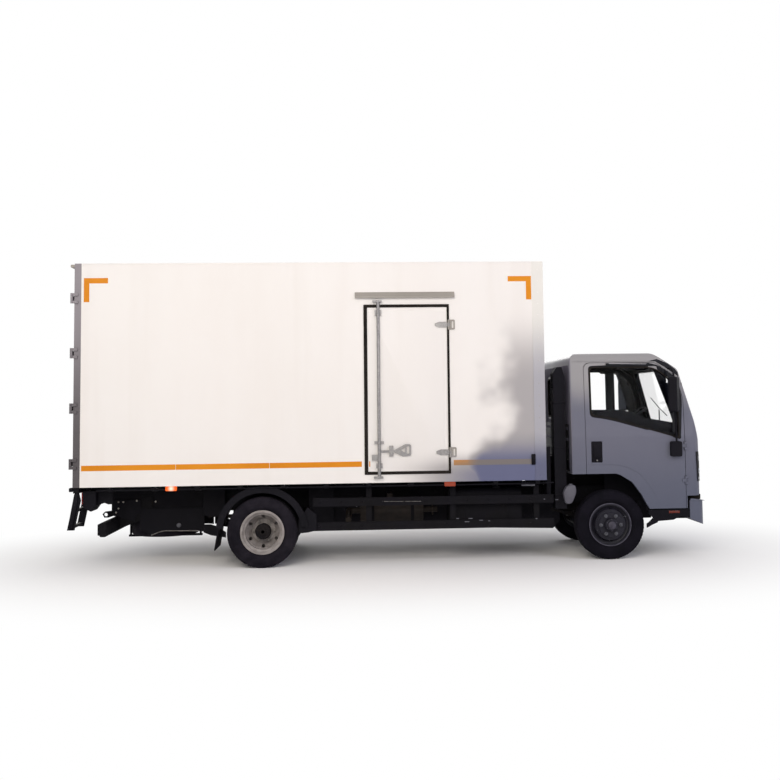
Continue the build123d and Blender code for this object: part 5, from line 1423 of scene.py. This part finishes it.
def rail_fittings():
    """Bolts on the rails, pipes and cable looms along them, clamps and small grey fittings set where glints show, as
    painted glints.
    """
    bolts, painted = [], []
    for side in SIDES.values():
        way = outward(side)
        face = side * 375.5
        for x, z in ((-5478, 679), (-5425, 678), (-5478, 608), (-5504, 563), (-5275, 690)):
            bolts.append(facing(hexagon(22, 9), way, at(x, side * 402.5, z)))
        for x, z in ((-5123, 676), (-5070, 675)):
            bolts.append(facing(hexagon(22, 9), way, at(x, face, z)))
        for x0 in (-4500, -2900, -2400, -1900, -700, -200, 300):
            painted.append(row(facing(hexagon(20, 8), way), (x0, face, 735), (60, 0, 0), 3))
            painted.append(row(facing(hexagon(20, 8), way), (x0, face, 615), (60, 0, 0), 2))
        painted.append(rivets(11, 7, way, (-3200, side * 1000.5, 686), (230, 0, 0), 11))
        painted.append(rivets(11, 7, way, (-3200, side * 1000.5, 426), (230, 0, 0), 11))
        for x, z in ((-5520, 470), (-5480, 430)):
            painted.append(facing(hexagon(26, 10), way, at(x, side * 1050.5, z)))
    piece("rail_bolts", "chassis", ZINC, bolts)
    fitted("painted_bolts", "chassis", "chassis_paint", painted)
    looms = []
    for side in SIDES.values():
        y = side * 366
        for k, z in enumerate((640, 668, 700)):
            beside, inside = y - side * 10, side * 250
            way = [
                (700, side * 300, z), (400, beside, z), (-2900, beside, z), (-3300, inside, z + 60),
                (-4300, inside, z + 60), (-4700, beside, z), (-5400, beside, z),
            ]
            looms.append(pipe(way, 9 - k, 10))
        looms.append(pipe([(-640, side * 1015, 860), (-900, side * 1080, 858), (-5560, side * 1080, 858)], 8, 8))
    fitted("pipes_and_looms", "chassis", "black_plastic", looms)
    inner = ((-3290, 620, 20), (-2803, 585, 9), (-2679, 585, 7), (-2402, 575, 8))
    outer = (
        (-1598, 450, 26), (-1700, 487, 14), (-1560, 485, 22), (-1443, 463, 20), (-1356, 455, 10), (-833, 470, 10),
        (-742, 679, 8), (-606, 671, 18),
    )
    # small grey blocks and a wing nut where glints show: painted glints
    bright = [slab(x - w, x + w, -452.5, -446.5, z - 5, z + 5, 2) for x, z, w in inner]
    bright += [slab(x - w, x + w, -1004.5, -1000.5, z - 5, z + 5, 1.5) for x, z, w in outer]
    bright.append(slab(-1000, -852, -1060, -1040, 830, 866, 6))
    bright.append(lathe([(0, 0), (0, 26), (12, 22), (14, 8), (40, 7), (40, 0)], (-4806, -400, 408), -1, 20))
    piece("glint_fittings", "chassis", GREY_ZINC, bright)


def tank_and_silencer():
    """Filler cap, straps, seams and plugs of the tank, battery box, air tanks and silencer."""
    straps = []
    for x in (-1620, -1140):
        outline = rounded([(-893, 397), (-467, 397), (-467, 803), (-893, 803)], 72, 6)
        straps.append(border("x", outline, moved_in(outline, 2.6), x - 20, x + 20, 0.5))
    for z in (500, 700):
        for x in (-2200, -1750):
            straps.append(lathe([(0, 88.5), (0, 91), (26, 91), (26, 88.5)], (x, 640, z), 1, 40, "x"))
    for x in (-2640, -2200):
        straps.append(lathe([(0, 140.5), (0, 144), (34, 144), (34, 140.5)], (x, -640, 560), 1, 56, "x"))
    fitted("tank_straps", "chassis", "chassis_paint", straps)
    cap = [lathe([(0, 0), (0, 46), (18, 48), (26, 42), (28, 0)], (-1250, -820, 800), 1, 36, "z")]
    cap += [row(facing(hexagon(14, 5), "z"), (-1240 + dx, 480, 790), (0, 90, 0), 5) for dx in (-240, 200)]
    cap.append(pipe([(-1330, 884, 700), (-1330, 900, 700), (-1190, 900, 700), (-1190, 884, 700)], 8))
    fitted("filler_cap", "chassis", "black_plastic", cap)
    ribs = [slab(-1490 + i * 96, -1460 + i * 96, 880, 886, 450, 740, 2.5) for i in range(5)]
    fitted("battery_box_ribs", "chassis", "black_plastic", ribs)
    seams = [lathe([(0, 140), (0, 146), (10, 146), (10, 140)], (x, -640, 560), 1, 56, "x") for x in (-2755, -2075)]
    seams.append(lathe([(0, 32), (0, 62), (14, 62), (14, 32)], (-1960, -640, 560), 1, 32, "x"))
    fitted("silencer_seams", "chassis", "exhaust_steel", seams)


def running_gear():
    """U bolts, spring clamps, dampers, brake chambers and hoses, shaft joints and the axle's cover."""
    bright, dark, rubber = [], [], []
    for axle, top, half, low, reach, level in (
        (0, AXLE_Z + 36, 60, AXLE_Z - 104, 300, 428), (REAR_AXLE_X, AXLE_Z + 144, 62, AXLE_Z - 78, 360, 520),
    ):
        for side in SIDES.values():
            y0, y1 = side * 380, side * 464
            for x in (axle - half, axle + half):
                bright.append(pipe([(x, y0, low), (x, y0, top + 8), (x, y1, top + 8), (x, y1, low)], 8))
                bright.append(facing(hexagon(26, 16), "-z", at(x, y0, low + 20)))
                bright.append(facing(hexagon(26, 16), "-z", at(x, y1, low + 20)))
            for x in (axle - reach, axle + reach):
                dark.append(slab(x - 16, x + 16, side * 383, side * 461, level + 10, level + 64, 2))
            if axle == 0:
                rubber.append(pipe([(-120, side * 500, 330), (-180, side * 480, 640)], 26, 16))
                dark.append(pipe([(-152, side * 490, 470), (-180, side * 480, 640)], 34, 20))
            else:
                rubber.append(pipe([(axle + 120, side * 500, 330), (axle + 220, side * 360, 620)], 26, 16))
                dark.append(pipe([(axle + 165, side * 437, 460), (axle + 220, side * 360, 620)], 34, 20))
                dark.append(lathe(
                    [(0, 0), (0, 70), (60, 84), (72, 84), (110, 62), (120, 0)],
                    (axle + 130, side * 520, AXLE_Z + 120), 1, 36, "x",
                ))
                rubber.append(pipe(
                    [
                        (axle + 250, side * 520, AXLE_Z + 130), (axle + 380, side * 440, 560),
                        (axle + 420, side * 340, 600),
                    ],
                    8,
                ))
    cover = [(0, 0), (0, 150), (10, 152), (22, 130), (34, 60), (36, 0)]
    dark.append(lathe(cover, (REAR_AXLE_X - 186, 0, AXLE_Z), -1, 44, "x"))
    bright.append(ring(hexagon(18, 8), 128, 10, (REAR_AXLE_X - 170, 0, AXLE_Z), "-x"))
    bright.append(ring(hexagon(18, 12), 56, 6, (-3470, 0, AXLE_Z + 6), "x"))
    piece("axle_clamps", "chassis", STEEL, bright)
    fitted("dampers_and_chambers", "chassis", "chassis_paint", dark)
    fitted("damper_rods_and_hoses", "chassis", "black_plastic", rubber)


def tail_fittings():
    """Flap ribs, buffers, the plate beside the ladder, and grip on its treads and the cab steps."""
    forms = []
    for side in SIDES.values():
        top = REAR_AXLE_X - 448
        for k in range(5):
            y = side * (640 + 90 * k)
            forms.append(prism(
                "y", [(top - 1, 556), (top - 9, 556), (top - 69, 204), (top - 61, 204)], y - 8, y + 8, 1, 1,
            ))
        forms.append(slab(-5560, -5538, side * 940, side * 1044, 380, 500, 8))
        forms.append(slab(-5846, -5806, side * 1040, side * 1118, 852, 894, 8))
    forms.append(prism("y", [(-5790, 832), (-5752, 832), (-5762, 700), (-5812, 452), (-5858, 452)], -1111, -1104, 2))
    fitted("tail_rubber", "chassis", "black_plastic", forms)
    grip = [
        rivets(5, 3, "z", (x, -1050, z), (0, 26, 0), 14)
        for x, z in ((-5826, 492), (-5806, 492), (-5788, 664), (-5768, 664))
    ]
    for y in (800, 840, 880):
        grip += [rivets(5, 3, "z", (540, side * y, 466), (24, 0, 0), 12) for side in SIDES.values()]
    piece("step_grip", "chassis", ZINC, grip)


def seal_on(tree, outer, inner, side, lift, thick):
    """A band between two outlines, laid on the CAD surface seen along Y.

    Where the outer line runs past the edge of the CAD, it is drawn in towards the inner one
    until it lies on the surface; an inner point over an opening keeps the level of its outer one.
    """
    aim = Vector((0, -side, 0))

    def laid(x, z):
        hit = tree.ray_cast(at(x, side * SIDE_RAY, z), aim)[0]
        return hit if hit is not None and abs(hit.y) > DOOR_Y else None

    pairs = []
    for (xa, za), (xb, zb) in zip(outer, inner):
        tries = (
            laid(xa + (xb - xa) * k / DRAW_STEPS, za + (zb - za) * k / DRAW_STEPS) for k in range(DRAW_STEPS + 1)
        )
        edge = next((hit for hit in tries if hit is not None), None)
        if edge is None:
            continue
        low = laid(xb, zb) or Vector((at(xb, 0, zb).x, edge.y, at(xb, 0, zb).z))
        if abs(low.y - edge.y) > SAME_LEVEL:
            low.y = edge.y
        if (low - edge).length > TOO_NEAR:
            pairs.append((edge, low))
    form = bmesh.new()
    rows = [[form.verts.new(pair[k] + Vector((0, side * lift * MM, 0))) for pair in pairs] for k in (0, 1)]
    for i in range(len(pairs)):
        j = (i + 1) % len(pairs)
        form.faces.new((rows[0][i], rows[0][j], rows[1][j], rows[1][i]))
    bmesh.ops.recalc_face_normals(form, faces=form.faces)
    if sum(f.normal.y * side for f in form.faces) < 0:
        bmesh.ops.reverse_faces(form, faces=form.faces)
    bmesh.ops.solidify(form, geom=form.faces[:], thickness=thick * MM)
    bmesh.ops.recalc_face_normals(form, faces=form.faces)
    return form


def mirror_glasses():
    """Silvered glass in the back of each door mirror, and the upper arm."""
    for name, side in SIDES.items():
        turn = Matrix.Rotation(radians(side * 25), 4, "Z")
        glass = bmesh.new()
        outline = rounded([(-80, -175), (80, -175), (80, 175), (-80, 175)], 26)
        ends = [[glass.verts.new((x * MM, a * MM, b * MM)) for a, b in outline] for x in (-51.5, -49)]
        glass.faces.new(ends[0])
        glass.faces.new(ends[1])
        bridge(glass, *ends)
        bmesh.ops.recalc_face_normals(glass, faces=glass.faces)
        glass.transform(turn)
        glass.transform(Matrix.Translation(at(694, side * 1140, 1811)))
        piece(f"mirror_glass_{name}", f"cab_door_{name}", MIRROR_GLASS, [glass])
        arm = [(672, side * 1000, 2100), (690, side * 1060, 2108), (700, side * 1112, 2060), (702, side * 1125, 1990)]
        fitted(f"mirror_upper_arm_{name}", f"cab_door_{name}", "black_plastic", [pipe(arm, 10)])


def cab_inside():
    """Dash pad, instrument hood, vents, levers, mats, belts, sun visors, grab handles and the tied curtain."""
    pad = rounded(
        [(640, 1376), (650, 1420), (720, 1466), (880, 1462), (940, 1420), (936, 1360), (880, 1362), (684, 1382)],
        [10, 20, 30, 30, 20, 10, 20, 10], 5,
    )
    forms = [prism("y", pad, -900, 900, 14, 3)]
    hood = rounded([(618, 1400), (640, 1490), (720, 1530), (800, 1500), (860, 1440)], [14, 30, 40, 30, 14], 5)
    forms.append(prism("y", hood, 200, 620, 22, 4))
    fitted("dash_pad", "cab", "trim_plastic", forms)
    vents = []
    for y in (-800, -120, 100, 800):
        vents.append(prism("x", rect(y - 60, y + 60, 1236, 1316, 12), 640, 634, 3))
        vents.append(row(slab_local(6, 108, 4), (632, y, 1250), (0, 0, 13), 5))
    vents.append(prism("x", rect(-90, 90, 1060, 1190, 14), 660, 652, 4))
    vents += [lathe([(0, 0), (0, 20), (14, 18), (16, 0)], (652, y, 1096), -1, 24, "x") for y in (-55, 0, 55)]
    vents.append(border("x", rect(-860, -380, 1080, 1200, 20), rect(-852, -388, 1088, 1192, 16), 656, 649, 2))
    fitted("dash_vents", "cab", "black_plastic", vents)
    lever = [
        pipe([(470, 20, 1000), (450, 20, 1150), (420, 20, 1270)], 9),
        lathe([(0, 0), (0, 18), (20, 26), (44, 24), (56, 0)], (419, 20, 1262), 1, 28, "z"),
    ]
    lever.append(lathe([(0, 86), (6, 90), (40, 62), (60, 30), (66, 10), (66, 0)], (470, 20, 997), 1, 32, "z"))
    lever += [pipe([(640, 420, 1290), (610, 420 + side * 150, 1330)], 7) for side in SIDES.values()]
    lever += [
        slab(700, 712, y - 34, y + 34, 1010, 1090, 6)
        for y in (330, 440)
    ] + [slab(690, 702, 520, 556, 1000, 1110, 6)]
    fitted("levers_and_pedals", "cab", "black_plastic", lever)
    mats = [slab(330, 690, y0, y1, 996.5, 1003, 3) for y0, y1 in ((-860, -100), (150, 860))]
    mats += [row(slab_local(330, 5, 3), (510, y0, 1003.5), (0, 40, 0), 18) for y0 in (-820, 175)]
    fitted("floor_mats", "cab", "black_plastic", mats)
    belts = []
    for side, y in ((1, 905), (-1, -905)):
        belts.append(prism(
            "x", [(y, 1060), (y - side * 4, 1060), (y - side * 40, 1900), (y - side * 36, 1900)], -330, -284, 0.8, 1,
        ))
        belts.append(slab(-340, -274, y - side * 60, y - side * 34, 1890, 1930, 6))
    piece("seat_belts", "cab", WEB, belts)
    visors = [
        prism("y", rounded([(480, 2150), (640, 2140), (642, 2130), (482, 2138)], 5, 3), y - 230, y + 230, 2, 2)
        for y in (-430, 430)
    ]
    visors += [
        pipe([(300, side * 880, 2130), (320, side * 860, 2100), (470, side * 860, 2100), (490, side * 880, 2130)], 11)
        for side in SIDES.values()
    ]
    fitted("sun_visors_and_grabs", "cab", "trim_plastic", visors)
    folds = []
    for k in range(7):
        x = 392 + k * 16
        folds.append(pipe([(x, 908, 2120), (x + 2, 908 + (k % 2) * 6, 1900), (x + 3, 908, 1610)], 11, 12))
    piece("tied_curtain", "cab_door_left", WEB, folds)


CLOTH_FRAMES = 20
CHANNEL_DEPTH, CHANNEL_WIDTH = 8, 9


def puffed(name, form, voxel, swell, channels=()):
    """A cushion blown up as stuffed cloth, with sewn channels pressed into it.

    channels are (axis, level, low face, high face): a seam across one axis at a level in
    millimetres, pressed where the normal points along (x, y, z).
    """
    mesh = bpy.data.meshes.new(name)
    form.to_mesh(mesh)
    form.free()
    made = bpy.data.objects.new(name, mesh)
    bpy.context.scene.collection.objects.link(made)
    remesh = made.modifiers.new("remesh", "REMESH")
    remesh.mode, remesh.voxel_size = "VOXEL", voxel * MM
    applied(made)
    start = np.array([v.co for v in made.data.vertices])
    cloth = made.modifiers.new("cloth", "CLOTH")
    settings = cloth.settings
    settings.quality, settings.mass, settings.tension_stiffness, settings.compression_stiffness = 5, 0.3, 12, 12
    settings.bending_stiffness, settings.use_pressure, settings.uniform_pressure_force = 0.6, True, 4.0
    settings.effector_weights.gravity = 0.0
    cloth.point_cache.frame_start, cloth.point_cache.frame_end = 1, CLOTH_FRAMES
    for number in range(1, CLOTH_FRAMES + 1):
        bpy.context.scene.frame_set(number)
    shown = made.evaluated_get(bpy.context.evaluated_depsgraph_get())
    moved = np.array([v.co for v in shown.data.vertices]) - start
    made.modifiers.clear()
    bpy.context.scene.frame_set(1)
    reach = np.linalg.norm(moved, axis=1, keepdims=True)
    moved *= np.minimum(1.0, swell * MM / np.maximum(reach, 1e-9))
    made.data.vertices.foreach_set("co", (start + moved).ravel())
    smooth = made.modifiers.new("smooth", "SUBSURF")
    smooth.levels = smooth.render_levels = 1
    applied(made)
    for vert in made.data.vertices:
        for axis, level, facing_way in channels:
            gap = (vert.co[axis] - at(level, level, level)[axis]) / MM
            if abs(gap) < 30 and vert.normal.dot(Vector(facing_way)) > 0.3:
                vert.co -= vert.normal * CHANNEL_DEPTH * MM * exp(-(gap / CHANNEL_WIDTH) ** 2)
    made.data.materials.clear()
    made.data.materials.append(FINISH["seat_cloth"])
    made.data.shade_smooth()
    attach(made, "cab")
    return made


def applied(made):
    """The object's modifiers made part of its mesh."""
    shown = made.evaluated_get(bpy.context.evaluated_depsgraph_get())
    mesh = bpy.data.meshes.new_from_object(shown)
    made.modifiers.clear()
    made.data = mesh


def seats():
    """Driver's seat and bench: moulded bases, stuffed cushions with sewn channels, headrests."""
    hard = []
    for name, y0, y1, places in (("left", 370, 900, (635,)), ("right", -900, -370, (-790, -500))):
        hard.append(slab(-330, 160, y0 + 14, y1 - 14, 997, 1330, 16, 3))
        hard.append(slab(-352, -330, y0 + 20, y1 - 20, 1340, 1860, 8, 2))
        pad = rounded([(-330, 1345), (-330, 1425), (165, 1445), (196, 1400), (178, 1345)], 30, 4)
        lines = [(0, x, (0, 0, 1)) for x in (-180, -40, 90)]
        puffed(f"seat_cushion_{name}", prism("y", pad, y0 + 12, y1 - 12, 16, 2), 13, 22, lines)
        rest = rounded([(-325, 1450), (-340, 1880), (-262, 1880), (-222, 1450)], 26, 4)
        lines = [(2, z, (1, 0, 0)) for z in (1560, 1680, 1800)]
        puffed(f"seat_back_{name}", prism("y", rest, y0 + 12, y1 - 12, 16, 2), 13, 22, lines)
        for k, y in enumerate(places):
            head = rounded([(-330, 1912), (-330, 2040), (-268, 2040), (-256, 1912)], 22, 4)
            puffed(f"headrest_{name}_{k}", prism("y", head, y - 90, y + 90, 14, 2), 10, 14)
            hard += [pipe([(-300, y + d, 1870), (-300, y + d, 1930)], 6, 10) for d in (-45, 45)]
    shells = fitted("seat_shells", "cab", "trim_plastic", hard)
    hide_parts("seats")


cab_inside()
seats()
door_trim()
cab_black_corners()
cab_front()
bumper_trim()
cab_back()
behind_cab()
duct_trim()
chassis_shade_sheets()
rail_fittings()
tank_and_silencer()
running_gear()
tail_fittings()
mirror_glasses()
